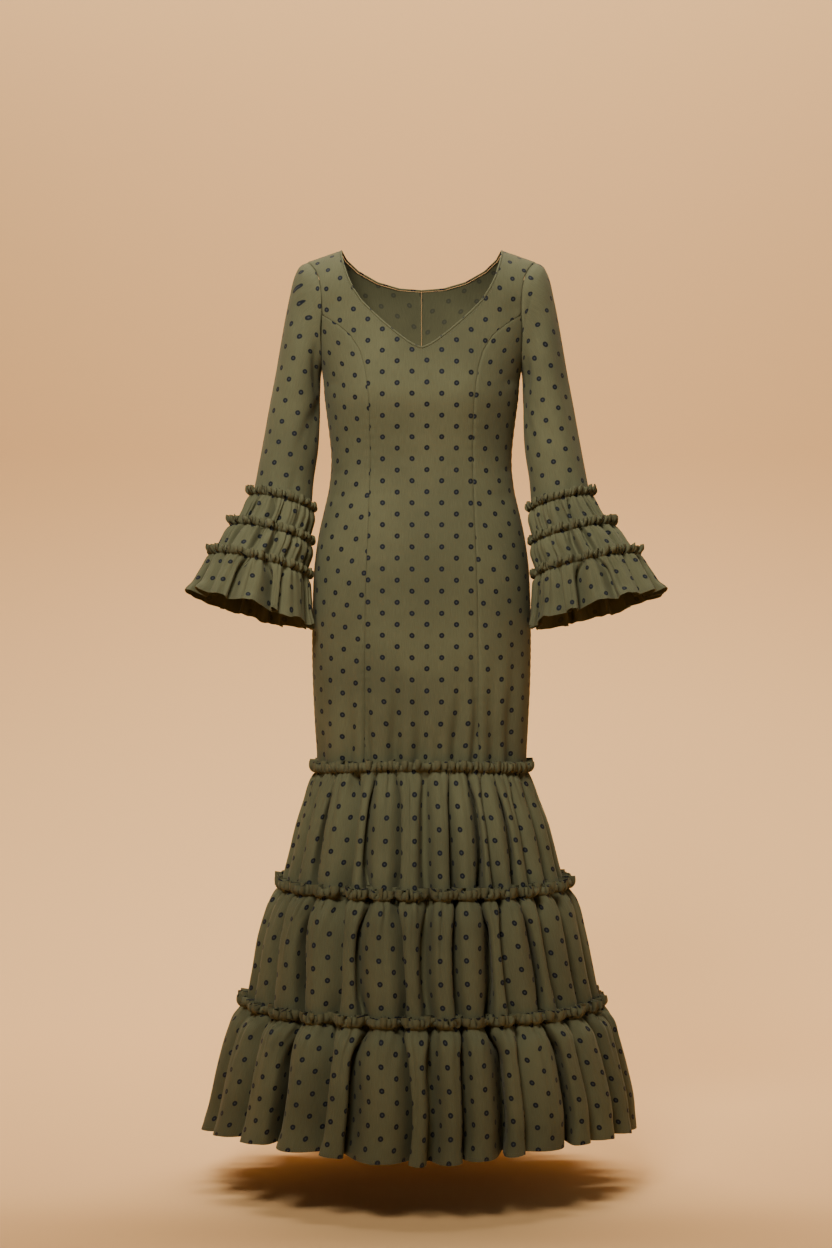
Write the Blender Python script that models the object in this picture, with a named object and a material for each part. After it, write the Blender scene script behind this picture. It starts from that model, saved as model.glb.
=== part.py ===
"""Long flared dress: a fitted princess-line body, frilled sleeves and three gathered skirt tiers.

Units are metres, +Z is up and the front faces -Y. The origin lies midway between the two neck ends of
the shoulder seams, at their height. Left and right are the wearer's, so left is at +X.
Each piece is a wall of cloth, as it would be cut and sewn.
"""

import math

import bpy
import numpy as np

WALL = 0.0012
SEAM_GAP = 0.0003
HALF_GAP = SEAM_GAP / 2
LEAST_LEAN = 0.6
SHARP_ANGLE = 50.0

OLIVE = (0.150, 0.132, 0.060, 1.0)
CLOTH_ROUGHNESS = 0.9


def table(columns, rows):
    """The rows as one array for each named column."""
    return {name: np.array(values) for name, values in zip(columns.split(), zip(*rows))}


# The fitted body. Depths run from the side seam's plane to the centre front and the centre back.
# Above the armpit the half width is that of the whole oval, which the armhole cuts.
BODY = table(
    "height half_width front back",
    (
        (-0.830, 0.1650, 0.1010, 0.1060),
        (-0.802, 0.1650, 0.1010, 0.1080),
        (-0.739, 0.1680, 0.1030, 0.1130),
        (-0.676, 0.1710, 0.1040, 0.1200),
        (-0.613, 0.1720, 0.1040, 0.1250),
        (-0.550, 0.1710, 0.1030, 0.1240),
        (-0.488, 0.1675, 0.1010, 0.1150),
        (-0.440, 0.1600, 0.0980, 0.1040),
        (-0.409, 0.1530, 0.0950, 0.0970),
        (-0.378, 0.1460, 0.0920, 0.0910),
        (-0.346, 0.1424, 0.0910, 0.0880),
        (-0.322, 0.1420, 0.0930, 0.0880),
        (-0.299, 0.1440, 0.0970, 0.0900),
        (-0.267, 0.1480, 0.1040, 0.0940),
        (-0.236, 0.1520, 0.1100, 0.0970),
        (-0.192, 0.1565, 0.1080, 0.1000),
        (-0.167, 0.1640, 0.1050, 0.1010),
        (-0.130, 0.1760, 0.0990, 0.0990),
        (-0.100, 0.1860, 0.0930, 0.0950),
        (-0.060, 0.1950, 0.0880, 0.0880),
        (0.000, 0.2000, 0.0840, 0.0740),
        (0.050, 0.2050, 0.0800, 0.0600),
    ),
)
SQUARENESS = 2.3
BUST_FULLNESS = 0.008
BUST_X = 0.085
BUST_HEIGHT = -0.215
BUST_SPREAD = 0.055

NECK_X = 0.125
SHOULDER_TIP_X = 0.180
SHOULDER_DROP = 0.019
SHOULDER_SLOPE = SHOULDER_DROP / (SHOULDER_TIP_X - NECK_X)
FRONT_ROUNDING = 0.080
BACK_ROUNDING = 0.110

BODY_HEM = -0.814
ARMPIT_HEIGHT = -0.192
BODY_RADIUS = 0.12
NORMAL_STEP = 0.0006
BODY_LEVELS = (BODY_HEM, -0.740, -0.665, -0.590, -0.520, -0.455, -0.400, -0.350, -0.305, -0.262)
BACK_LEVELS = BODY_LEVELS + (-0.226, ARMPIT_HEIGHT)

# Seam lines as seen from the front, from their lower end up.
PRINCESS = table(
    "x height",
    (
        (0.0902, BODY_HEM),
        (0.0885, -0.665),
        (0.0870, -0.540),
        (0.0825, -0.420),
        (0.0800, -0.350),
        (0.0800, -0.296),
        (0.0816, -0.243),
        (0.0843, -0.217),
        (0.0884, -0.1875),
        (0.0962, -0.161),
        (0.1126, -0.1356),
        (0.1330, -0.1190),
        (0.1550, -0.1047),
    ),
)
ARMHOLE = table(
    "x height",
    (
        (0.1565, ARMPIT_HEIGHT),
        (0.1572, -0.172),
        (0.1572, -0.150),
        (0.1562, -0.126),
        (0.1550, -0.1047),
        (0.1555, -0.083),
        (0.1572, -0.063),
        (0.1605, -0.046),
        (0.1670, -0.032),
        (0.1740, -0.0235),
        (SHOULDER_TIP_X, -SHOULDER_DROP),
    ),
)
FRONT_NECK = table(
    "x height",
    (
        (0.0000, -0.1572),
        (0.0100, -0.1535),
        (0.0208, -0.1471),
        (0.0408, -0.1317),
        (0.0593, -0.1159),
        (0.0765, -0.0998),
        (0.0920, -0.0840),
        (0.1046, -0.0647),
        (0.1130, -0.0470),
        (0.1200, -0.0252),
        (0.1240, -0.0100),
        (NECK_X, 0.0),
    ),
)
BACK_NECK = table(
    "x height",
    (
        (0.0000, -0.0560),
        (0.0350, -0.0535),
        (0.0700, -0.0440),
        (0.1000, -0.0280),
        (0.1180, -0.0120),
        (NECK_X, 0.0),
    ),
)
BINDING_WIDTH = 0.003
BINDING_PROUD = 0.0004
BINDING_ROUNDING = 0.0006
LEAST_CORNER = 0.8

# Sleeve rings from the cap down: the outer and the inner point as seen from the front, then the
# ring's middle and half depth from front to back, and how far its front edge is tilted up.
SLEEVE = table(
    "outer_x outer_height inner_x inner_height middle_y half_depth bow tilt",
    (
        (0.1905, -0.0300, 0.1580, -0.1950, 0.0010, 0.0565, 0.012, 0.0),
        (0.2015, -0.0500, 0.1585, -0.1990, 0.0010, 0.0570, 0.009, 0.0),
        (0.2090, -0.0800, 0.1588, -0.2050, 0.0010, 0.0575, 0.006, 1.0),
        (0.2155, -0.1140, 0.1590, -0.2130, 0.0000, 0.0580, 0.003, 2.0),
        (0.2220, -0.1520, 0.1590, -0.2240, -0.0010, 0.0575, 0.001, 3.0),
        (0.2290, -0.1940, 0.1590, -0.2400, -0.0030, 0.0560, 0.000, 5.0),
        (0.2385, -0.2450, 0.1595, -0.2680, -0.0060, 0.0535, 0.000, 7.0),
        (0.2480, -0.3000, 0.1620, -0.3140, -0.0120, 0.0510, 0.000, 9.0),
        (0.2570, -0.3500, 0.1690, -0.3640, -0.0200, 0.0490, 0.000, 10.0),
        (0.2645, -0.3920, 0.1722, -0.4150, -0.0285, 0.0480, 0.000, 10.0),
    ),
)
SLEEVE_POINTS = 24
SLEEVE_ARMHOLE_GAP = 0.0006

# Cuff rings against the seam that they belong to: 0, 1 and 2 are the three gathered seams, 3 the hem.
CUFF = table(
    "seam middle_x half_width outer_height inner_height middle_y half_depth fold_depth",
    (
        (-0.3, 0.2168, 0.0456, -0.374, -0.397, -0.0260, 0.0482, 0.0000),
        (0.00, 0.2183, 0.0465, -0.387, -0.410, -0.0280, 0.0484, 0.0000),
        (0.30, 0.2215, 0.0530, -0.401, -0.425, -0.0300, 0.0550, 0.0060),
        (1.00, 0.2355, 0.0615, -0.434, -0.462, -0.0340, 0.0650, 0.0070),
        (1.30, 0.2410, 0.0695, -0.447, -0.477, -0.0360, 0.0730, 0.0100),
        (2.00, 0.2555, 0.0775, -0.480, -0.514, -0.0400, 0.0830, 0.0090),
        (2.30, 0.2600, 0.0870, -0.496, -0.535, -0.0420, 0.0900, 0.0140),
        (3.00, 0.2710, 0.1035, -0.536, -0.592, -0.0480, 0.1020, 0.0200),
    ),
)
CUFF_TILT = 10.0
CUFF_FOLDS = 14
CUFF_FOLD_DRIFT = 0.20
CUFF_FOLD_DEPTH = 0.85
CUFF_DEPTH_SPREAD = 0.30
CUFF_INNER_PRESS = 0.6
CUFF_PUFF = 0.30
CUFF_HEADING = 0.24
CUFF_HEADING_FLARE = 0.0055
CUFF_FLARE = {"left": 1.03, "right": 0.965}
BODY_CLEARANCE = 0.0035

# The skirt as an oval at each height, with the depth of its folds. Seams lie at SKIRT_SEAMS.
SKIRT = table(
    "height middle_x half_width front back fold_depth squareness",
    (
        (-1.375, -0.0040, 0.3400, 0.3040, 0.3080, 0.0340, 2.0),
        (-1.330, 0.0000, 0.3340, 0.2960, 0.3000, 0.0320, 2.0),
        (-1.280, 0.0005, 0.3230, 0.2850, 0.2900, 0.0300, 2.0),
        (-1.230, 0.0015, 0.3080, 0.2700, 0.2760, 0.0280, 2.0),
        (-1.205, 0.0025, 0.2970, 0.2580, 0.2650, 0.0250, 2.0),
        (-1.185, 0.0025, 0.2810, 0.2410, 0.2500, 0.0220, 2.0),
        (-1.165, 0.0020, 0.2770, 0.2370, 0.2460, 0.0230, 2.0),
        (-1.120, 0.0015, 0.2680, 0.2290, 0.2380, 0.0240, 2.0),
        (-1.070, 0.0010, 0.2570, 0.2170, 0.2260, 0.0240, 2.02),
        (-1.030, 0.0025, 0.2430, 0.2030, 0.2120, 0.0210, 2.04),
        (-1.015, 0.0030, 0.2350, 0.1940, 0.2030, 0.0190, 2.06),
        (-1.001, 0.0030, 0.2260, 0.1840, 0.1940, 0.0180, 2.08),
        (-0.980, 0.0020, 0.2200, 0.1780, 0.1880, 0.0190, 2.1),
        (-0.940, 0.0020, 0.2100, 0.1640, 0.1730, 0.0180, 2.14),
        (-0.890, 0.0015, 0.1970, 0.1450, 0.1520, 0.0150, 2.18),
        (-0.850, 0.0005, 0.1820, 0.1240, 0.1300, 0.0100, 2.22),
        (-0.828, 0.0000, 0.1730, 0.1110, 0.1160, 0.0050, 2.26),
        (-0.811, 0.0000, 0.1655, 0.1017, 0.1080, 0.0000, SQUARENESS),
        (-0.790, 0.0000, 0.1655, 0.1017, 0.1090, 0.0000, SQUARENESS),
    ),
)
SKIRT_SEAMS = (-0.811, -1.001, -1.185)
HEM_HEIGHT = -1.375
SIDE_DROP = 0.009
HEM_LIFT = 0.012
HEADING_HEIGHT = 0.014
HEADING_FLARE = 0.009
SEAM_TUCK = 0.004
PUFF_DROP = 0.016
SEAM_OFFSET = WALL + SEAM_GAP
CUFF_SEAM_OFFSET = SEAM_OFFSET + 0.0004
CUFF_SEAM_TUCK = 0.0015

# Valleys between the skirt's folds that show from the front: their angle from the centre front in
# degrees, positive towards +X, and their depth against the height's own fold depth, in each tier.
FRONT_FOLDS = table(
    "angle_1 angle_2 angle_3 depth_1 depth_2 depth_3",
    (
        (-80.0, -78.0, -76.0, 0.8, 0.9, 0.8),
        (-66.0, -62.0, -58.0, 0.8, 0.7, 0.7),
        (-50.6, -44.5, -40.9, 0.7, 1.2, 1.2),
        (-33.7, -31.5, -30.7, 1.2, 0.8, 0.7),
        (-21.7, -19.7, -16.5, 0.9, 0.7, 0.9),
        (-11.3, -8.1, -4.9, 0.9, 0.8, 0.8),
        (1.8, 1.5, 4.1, 0.8, 0.7, 0.7),
        (12.3, 12.0, 12.5, 1.1, 0.8, 0.9),
        (22.8, 21.5, 20.5, 1.2, 1.1, 1.2),
        (30.5, 31.0, 31.0, 0.6, 0.6, 0.4),
        (39.0, 41.0, 42.0, 0.9, 0.8, 1.0),
        (50.5, 51.0, 54.0, 0.9, 1.1, 0.8),
        (64.0, 63.0, 66.0, 0.8, 0.8, 0.9),
        (78.0, 76.0, 78.0, 0.9, 0.9, 0.8),
    ),
)
HIDDEN_FOLDS = 15
HIDDEN_DRIFT = 0.22
HIDDEN_DEPTH = 0.90
HIDDEN_DEPTH_SPREAD = 0.28
TIER_LEVELS = (-0.97, -1.12, -1.29)
FOLD_STEPS = (0.0, 0.2, 0.5, 0.8)
VALLEY_SHARPNESS = 3


def smooth(rows, column, at, key="height"):
    """Reads a column along a smooth curve through its rows, which may be given in either order."""
    order = np.argsort(rows[key])
    places = rows[key][order]
    values = rows[column][order]
    slopes = np.gradient(values, places)
    at = np.clip(at, places[0], places[-1])
    left = np.clip(np.searchsorted(places, at) - 1, 0, len(places) - 2)
    width = places[left + 1] - places[left]
    part = (at - places[left]) / width
    rise = 3 * part**2 - 2 * part**3
    return (
        (1 - rise) * values[left]
        + rise * values[left + 1]
        + (part**3 - 2 * part**2 + part) * width * slopes[left]
        + (part**3 - part**2) * width * slopes[left + 1]
    )


def along(line, share):
    """The point of a seam line at this share of its length, as x and height."""
    steps = np.hypot(np.diff(line["x"]), np.diff(line["height"]))
    length = np.concatenate(([0.0], np.cumsum(steps)))
    at = share * length[-1]
    return float(np.interp(at, length, line["x"])), float(np.interp(at, length, line["height"]))


def share_at(line, height):
    """The share of a seam line's length that lies below this height."""
    steps = np.hypot(np.diff(line["x"]), np.diff(line["height"]))
    length = np.concatenate(([0.0], np.cumsum(steps)))
    return float(np.interp(height, line["height"], length)) / length[-1]


def signed_power(value, power):
    return math.copysign(abs(value) ** power, value)


def shoulder_height(x):
    return (NECK_X - abs(x)) * SHOULDER_SLOPE


def body_point(angle, height):
    """A point of the fitted body. The angle is 0 at the centre front, 90 degrees at the left side seam."""
    x = smooth(BODY, "half_width", height) * signed_power(math.sin(angle), 2 / SQUARENESS)
    facing = math.cos(angle)
    depth = smooth(BODY, "front" if facing > 0 else "back", height)
    y = -depth * signed_power(facing, 2 / SQUARENESS)
    rounding = FRONT_ROUNDING if facing > 0 else BACK_ROUNDING
    rise = (height - shoulder_height(x) + rounding) / rounding
    y *= math.sqrt(max(0.0, 1 - max(0.0, rise) ** 2))
    if facing > 0:
        off_x = (abs(x) - BUST_X) / BUST_SPREAD
        off_height = (height - BUST_HEIGHT) / BUST_SPREAD
        y -= BUST_FULLNESS * math.exp(-(off_x**2) - off_height**2) * facing
    return np.array((x, y, height))


def body_angle(x, height, front=True):
    """The angle at which the body has this x at this height."""
    share = min(1.0, abs(x) / float(smooth(BODY, "half_width", height)))
    angle = math.asin(share ** (SQUARENESS / 2))
    return angle if front else math.pi - angle


def body_normal(angle, height):
    turn = NORMAL_STEP / BODY_RADIUS
    across = body_point(angle + turn, height) - body_point(angle - turn, height)
    up = body_point(angle, height + NORMAL_STEP) - body_point(angle, height - NORMAL_STEP)
    normal = np.cross(across, up)
    return normal / np.linalg.norm(normal)


def shoulder_point(x, front):
    """A point of the shoulder seam, half a gap to its front or back, and the way out of the cloth there."""
    point = np.array((x, -HALF_GAP if front else HALF_GAP, shoulder_height(x)))
    normal = np.array((SHOULDER_SLOPE, 0.0, 1.0))
    return point, normal / np.linalg.norm(normal)


def body_row(inner, outer, columns, gaps):
    """Points and normals from one seam line to another. Each end is an (angle, height) pair."""
    found = []
    for column in range(columns + 1):
        share = column / columns
        angle = inner[0] + (outer[0] - inner[0]) * share
        height = inner[1] + (outer[1] - inner[1]) * share
        if height == BODY_HEM:
            height -= SIDE_DROP * math.sin(angle) ** 2
        found.append((angle, height))
    points = [body_point(*place) for place in found]
    normals = [body_normal(*place) for place in found]
    for end, neighbour, gap in ((0, 1, gaps[0]), (-1, -2, gaps[1])):
        inward = points[neighbour] - points[end]
        points[end] = points[end] + inward / np.linalg.norm(inward) * gap
    return points, normals


def shoulder_row(inner_x, outer_x, columns, front):
    pairs = [shoulder_point(inner_x + (outer_x - inner_x) * i / columns, front) for i in range(columns + 1)]
    return [point for point, _ in pairs], [normal for _, normal in pairs]


def place_on(line, share, front=True):
    x, height = along(line, share)
    return body_angle(x, height, front), height


class Surface:
    """The outer face of a piece: points with the way out at each, and four-sided faces."""

    def __init__(self):
        self.points = []
        self.normals = []
        self.faces = []
        self.known = {}

    def add(self, point, normal):
        key = tuple(np.round(np.asarray(point, float), 7))
        if key not in self.known:
            self.known[key] = len(self.points)
            self.points.append(np.asarray(point, float))
            self.normals.append(np.asarray(normal, float))
        return self.known[key]

    def grid(self, rows, closed=False):
        """Faces between rows of (points, normals). Rows run from below up, columns towards +X."""
        numbers = [[self.add(*pair) for pair in zip(*row)] for row in rows]
        for lower, upper in zip(numbers, numbers[1:]):
            count = len(lower)
            for i in range(count if closed else count - 1):
                j = (i + 1) % count
                corners = [lower[i], lower[j], upper[j], upper[i]]
                kept = [n for k, n in enumerate(corners) if n != corners[k - 1]]
                if len(kept) >= 3:
                    self.faces.append(kept)

    def mirrored(self):
        other = Surface()
        flip = np.array((-1.0, 1.0, 1.0))
        numbers = [other.add(p * flip, n * flip) for p, n in zip(self.points, self.normals)]
        other.faces = [[numbers[i] for i in reversed(face)] for face in self.faces]
        return other

    def joined(self, other):
        numbers = [self.add(p, n) for p, n in zip(other.points, other.normals)]
        self.faces += [[numbers[i] for i in face] for face in other.faces]
        return self


def halved(faces):
    """Four-sided faces cut into triangles, each along the same corner to corner line in both layers."""
    triangles = []
    for face in faces:
        triangles += [[face[0], face[k], face[k + 1]] for k in range(1, len(face) - 1)]
    return triangles


def mesh_normals(points, faces):
    """The way out at each point, lengthened at a bend so that the wall keeps its thickness."""
    flat = np.cross(points[faces[:, 1]] - points[faces[:, 0]], points[faces[:, 2]] - points[faces[:, 0]])
    total = np.zeros_like(points)
    for corner in faces.T:
        np.add.at(total, corner, flat)
    normals = total / np.linalg.norm(total, axis=1)[:, None]
    flat /= np.linalg.norm(flat, axis=1)[:, None]
    lean = np.zeros(len(points))
    count = np.zeros(len(points))
    for corner in faces.T:
        np.add.at(lean, corner, (normals[corner] * flat).sum(axis=1))
        np.add.at(count, corner, 1)
    return normals / np.maximum(lean / count, LEAST_LEAN)[:, None]


def cloth(name, surface, own_normals=True):
    """Makes a piece: the surface, the same surface one wall further in, and a rim along every open edge."""
    outer = np.array(surface.points)
    triangles = halved(surface.faces)
    normals = np.array(surface.normals) if own_normals else mesh_normals(outer, np.array(triangles))
    inner = outer - normals * WALL
    count = len(outer)
    faces = triangles + [[c + count, b + count, a + count] for a, b, c in triangles]
    edges = {(face[k - 1], face[k]) for face in triangles for k in range(3)}
    rims = [(a, b) for a, b in edges if (b, a) not in edges]
    faces += [[b, a, a + count, b + count] for a, b in sorted(rims)]
    return make_object(name, np.vstack((outer, inner)), faces)


def make_object(name, points, faces):
    mesh = bpy.data.meshes.new(name)
    mesh.from_pydata([tuple(map(float, point)) for point in points], [], faces)
    mesh.validate()
    mesh.shade_smooth()
    mesh.set_sharp_from_angle(angle=math.radians(SHARP_ANGLE))
    mesh.materials.append(cloth_material(name))
    obj = bpy.data.objects.new(name, mesh)
    bpy.context.scene.collection.objects.link(obj)
    return obj


def cloth_material(name):
    material = bpy.data.materials.new(name)
    material.use_nodes = True
    shader = material.node_tree.nodes["Principled BSDF"]
    shader.inputs["Base Color"].default_value = OLIVE
    shader.inputs["Roughness"].default_value = CLOTH_ROUGHNESS
    shader.inputs["Metallic"].default_value = 0.0
    return material


CENTRE_COLUMNS = 4
SIDE_COLUMNS = 5
BACK_COLUMNS = 7
FAN_ROWS = 4
NECK_ROWS = 9
BACK_NECK_ROWS = 6
BACK_FAN_ROWS = 3
LOWER_ARMHOLE = share_at(ARMHOLE, float(PRINCESS["height"][-1]))
BACK_NECK_ARMHOLE = 0.45


def neck_frames():
    """The left neckline from front to back: points, ways out of the cloth and ways into the opening."""
    places = []
    for i in range(NECK_ROWS):
        places.append((*place_on(FRONT_NECK, i / NECK_ROWS), True))
    places.append(None)
    for i in range(BACK_NECK_ROWS - 1, -1, -1):
        places.append((*place_on(BACK_NECK, i / BACK_NECK_ROWS, front=False), False))
    points = []
    normals = []
    for place in places:
        if place is None:
            point, normal = shoulder_point(NECK_X, True)
            point[1] = 0.0
        else:
            point = body_point(*place[:2])
            normal = body_normal(*place[:2])
        points.append(point)
        normals.append(normal)
    mirror = np.array((-1.0, 1.0, 1.0))
    before = [points[1] * mirror] + points[:-1]
    after = points[1:] + [points[-2] * mirror]
    frames = []
    for point, normal, back, ahead in zip(points, normals, before, after):
        tangent = (ahead - back) / np.linalg.norm(ahead - back)
        into = np.cross(normal, tangent)
        into /= np.linalg.norm(into)
        one = (point - back) / np.linalg.norm(point - back)
        corner = max(LEAST_CORNER, float(np.dot(one, tangent)))
        frames.append((point, normal, into / corner))
    return frames


def neck_edge(frames):
    """The panels' own neck edge, which the binding runs along."""
    return [(p - into * (BINDING_WIDTH + SEAM_GAP), n) for p, n, into in frames]


def fan_heights(low, high, rows):
    return [low + (high - low) * (i + 1) / rows for i in range(rows)]


def princess_places():
    """Where the rows of the front panels meet the princess seam: level rows first, then rows that fan out."""
    start = share_at(PRINCESS, BODY_LEVELS[-1])
    shares = [share_at(PRINCESS, height) for height in BODY_LEVELS]
    shares += [start + (1 - start) * (i + 1) / FAN_ROWS for i in range(FAN_ROWS)]
    return [place_on(PRINCESS, share) for share in shares]


def front_centre(frames):
    edge = neck_edge(frames)
    centre_heights = list(BODY_LEVELS)
    centre_heights += fan_heights(BODY_LEVELS[-1], float(FRONT_NECK["height"][0]), FAN_ROWS)
    rows = []
    for height, outer in zip(centre_heights, princess_places()):
        rows.append(body_row((0.0, height), outer, CENTRE_COLUMNS, (0.0, HALF_GAP)))
    rows[-1][0][0], rows[-1][1][0] = edge[0]
    half = Surface()
    half.grid(rows)
    upper = [rows[-1]]
    for i in range(1, NECK_ROWS):
        armhole = LOWER_ARMHOLE + (1 - LOWER_ARMHOLE) * i / NECK_ROWS
        ends = place_on(FRONT_NECK, i / NECK_ROWS), place_on(ARMHOLE, armhole)
        points, normals = body_row(*ends, CENTRE_COLUMNS, (0.0, 0.0))
        points[0], normals[0] = edge[i]
        upper.append((points, normals))
    upper.append(shoulder_row(NECK_X + BINDING_WIDTH + SEAM_GAP, SHOULDER_TIP_X, CENTRE_COLUMNS, True))
    half.grid(upper)
    whole = half.mirrored().joined(half)
    return cloth("front_centre", whole)


def front_side():
    """The left side front panel. Its top edge is the armhole from the princess seam down to the armpit."""
    side_heights = list(BODY_LEVELS) + fan_heights(BODY_LEVELS[-1], ARMPIT_HEIGHT, FAN_ROWS)
    rows = []
    for inner, height in zip(princess_places(), side_heights):
        rows.append(body_row(inner, (math.pi / 2, height), SIDE_COLUMNS, (HALF_GAP, HALF_GAP)))
    points, normals = rows[-1]
    for column in range(1, SIDE_COLUMNS):
        place = place_on(ARMHOLE, LOWER_ARMHOLE * (1 - column / SIDE_COLUMNS))
        points[column] = body_point(*place)
        normals[column] = body_normal(*place)
    side = Surface()
    side.grid(rows)
    return side


def back_half(frames):
    """The left back panel, from the side seam to the centre back."""
    edge = neck_edge(frames)
    rows = []
    for height in BACK_LEVELS:
        ends = (math.pi / 2, height), (math.pi, height)
        rows.append(body_row(*ends, BACK_COLUMNS, (HALF_GAP, HALF_GAP)))
    centre_heights = fan_heights(ARMPIT_HEIGHT, float(BACK_NECK["height"][0]), BACK_FAN_ROWS)
    for i, height in enumerate(centre_heights):
        armhole = BACK_NECK_ARMHOLE * (i + 1) / BACK_FAN_ROWS
        ends = place_on(ARMHOLE, armhole, front=False), (math.pi, height)
        rows.append(body_row(*ends, BACK_COLUMNS, (0.0, HALF_GAP)))
    for i in range(BACK_NECK_ROWS):
        armhole = BACK_NECK_ARMHOLE + (1 - BACK_NECK_ARMHOLE) * i / BACK_NECK_ROWS
        ends = place_on(ARMHOLE, armhole, False), place_on(BACK_NECK, i / BACK_NECK_ROWS, False)
        points, normals = body_row(*ends, BACK_COLUMNS, (0.0, 0.0))
        points[-1], normals[-1] = edge[-1 - i]
        if i == 0:
            points[-1] = points[-1] + np.array((HALF_GAP, 0.0, 0.0))
            rows.pop()
        rows.append((points, normals))
    rows.append(shoulder_row(SHOULDER_TIP_X, NECK_X + BINDING_WIDTH + SEAM_GAP, BACK_COLUMNS, False))
    back = Surface()
    back.grid(rows)
    return back


def neck_binding(frames):
    """A narrow strip folded round the neck edge, swept round the whole neckline."""
    inside = WALL + BINDING_PROUD
    middle = WALL / 2
    profile = (
        (BINDING_WIDTH, -inside),
        (BINDING_ROUNDING, -inside),
        (0.0, -middle),
        (BINDING_ROUNDING, BINDING_PROUD),
        (BINDING_WIDTH, BINDING_PROUD),
    )
    flip = np.array((-1.0, 1.0, 1.0))
    left = [[p - into * b + n * h for b, h in profile] for p, n, into in frames]
    right = [[corner * flip for corner in ring] for ring in left[1:-1]]
    rings = left + right[::-1]
    size = len(profile)
    points = [corner for ring in rings for corner in ring]
    faces = []
    for k in range(len(rings)):
        after = (k + 1) % len(rings)
        for i in range(size):
            j = (i + 1) % size
            faces.append([k * size + i, k * size + j, after * size + j, after * size + i])
    return make_object("neck_binding", points, faces)


def armhole_ring():
    """The left armhole, from the armpit up its front to the shoulder and down its back."""
    half = SLEEVE_POINTS // 2
    ring = []
    for i in range(SLEEVE_POINTS):
        front = i <= half
        share = i / half if front else (SLEEVE_POINTS - i) / half
        if i == half:
            point, _ = shoulder_point(SHOULDER_TIP_X, True)
            point[1] = 0.0
        else:
            share = (1 - math.cos(math.pi * share)) / 2
            x, height = along(ARMHOLE, share)
            point = body_point(body_angle(x, height, front), height)
            if i == 0:
                point[1] = 0.0
        ring.append(point + np.array((SLEEVE_ARMHOLE_GAP, 0.0, 0.0)))
    return ring


def sleeve_ring(row):
    """One ring of the left sleeve, from its inner point round the front to its outer point and back."""
    outer = np.array((row["outer_x"], 0.0, row["outer_height"]))
    inner = np.array((row["inner_x"], 0.0, row["inner_height"]))
    tilt = math.radians(row["tilt"])
    middle = (outer + inner) / 2 + np.array((0.0, row["middle_y"], 0.0))
    forward = np.array((0.0, -math.cos(tilt), math.sin(tilt))) * row["half_depth"]
    ring = []
    for i in range(SLEEVE_POINTS):
        turn = 2 * math.pi * i / SLEEVE_POINTS
        along_ring = -math.cos(turn) * (outer - inner) / 2
        bow = np.array((-row["bow"] * math.sin(turn) ** 2, 0.0, 0.0))
        ring.append(middle + along_ring + forward * math.sin(turn) + bow)
    return ring


def tube(rings):
    """A closed tube through rings that run clockwise seen from above, listed from the top down."""
    surface = Surface()
    rows = [(ring, [np.zeros(3)] * len(ring)) for ring in reversed(rings)]
    surface.grid(rows, closed=True)
    return surface


def sleeve():
    rows = [{name: values[i] for name, values in SLEEVE.items()} for i in range(len(SLEEVE["tilt"]))]
    return tube([armhole_ring()] + [sleeve_ring(row) for row in rows])


def uneven(number, rate, start=0.0):
    """A value between -1 and 1 that changes unevenly from one number to the next."""
    return math.sin(rate * number + start)


def valley(part):
    """How far into its valley a fold is at this part of its width: 1 at the valley, 0 on the ridge."""
    return abs(math.cos(math.pi * part)) ** VALLEY_SHARPNESS


def ring_offset(ring, distance):
    """The ring moved out by this distance from its own outline, seen from above."""
    points = np.array(ring)
    run = np.roll(points, -1, axis=0) - points
    after = np.stack((run[:, 1], -run[:, 0], np.zeros(len(run))), axis=1)
    after /= np.linalg.norm(after, axis=1)[:, None]
    out = after + np.roll(after, 1, axis=0)
    out /= np.linalg.norm(out, axis=1)[:, None]
    lean = np.maximum((out * after).sum(axis=1), LEAST_LEAN)
    return list(points + out * distance / lean[:, None])


def cuff_folds():
    """Uneven fold places round a cuff, as shares of its turn, with each valley's depth."""
    folds = []
    for i in range(CUFF_FOLDS):
        shift = CUFF_FOLD_DRIFT * uneven(i, 2.4, 0.7)
        folds.append(((i + shift) / CUFF_FOLDS, CUFF_FOLD_DEPTH + CUFF_DEPTH_SPREAD * uneven(i, 1.9)))
    return folds


def cuff_ring(seam, side, rise=0.0, flare=0.0):
    """One ring of the left cuff: an oval in a tilted plane, with its folds pressed in."""
    read = {name: float(smooth(CUFF, name, seam, key="seam")) for name in CUFF if name != "seam"}
    widening = 1 + (CUFF_FLARE[side] - 1) * min(1.0, max(0.0, seam) / 2)
    tilt = math.radians(CUFF_TILT)
    slant = (read["outer_height"] - read["inner_height"]) / 2
    outward = np.array((read["half_width"] * widening, 0.0, slant))
    forward = np.array((0.0, -math.cos(tilt), math.sin(tilt))) * read["half_depth"]
    middle_x = read["middle_x"] + read["half_width"] * (widening - 1)
    height = (read["outer_height"] + read["inner_height"]) / 2 + rise
    middle = np.array((middle_x, read["middle_y"], height))
    folds = cuff_folds()
    ring = []
    for i, (place, depth) in enumerate(folds):
        following, next_depth = folds[(i + 1) % CUFF_FOLDS]
        following += 1 if i + 1 == CUFF_FOLDS else 0
        for part in FOLD_STEPS:
            turn = 2 * math.pi * (place + (following - place) * part)
            out = -math.cos(turn) * outward / np.linalg.norm(outward)
            out = out + math.sin(turn) * forward / np.linalg.norm(forward)
            out /= np.linalg.norm(out)
            inner_side = (1 + math.cos(turn)) / 2
            pressed = valley(part) * (depth + (next_depth - depth) * part)
            pressed *= 1 - CUFF_INNER_PRESS * inner_side
            point = middle - math.cos(turn) * outward + math.sin(turn) * forward
            ring.append(point + out * (flare - read["fold_depth"] * pressed))
    return clear_of_body(ring)


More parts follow.
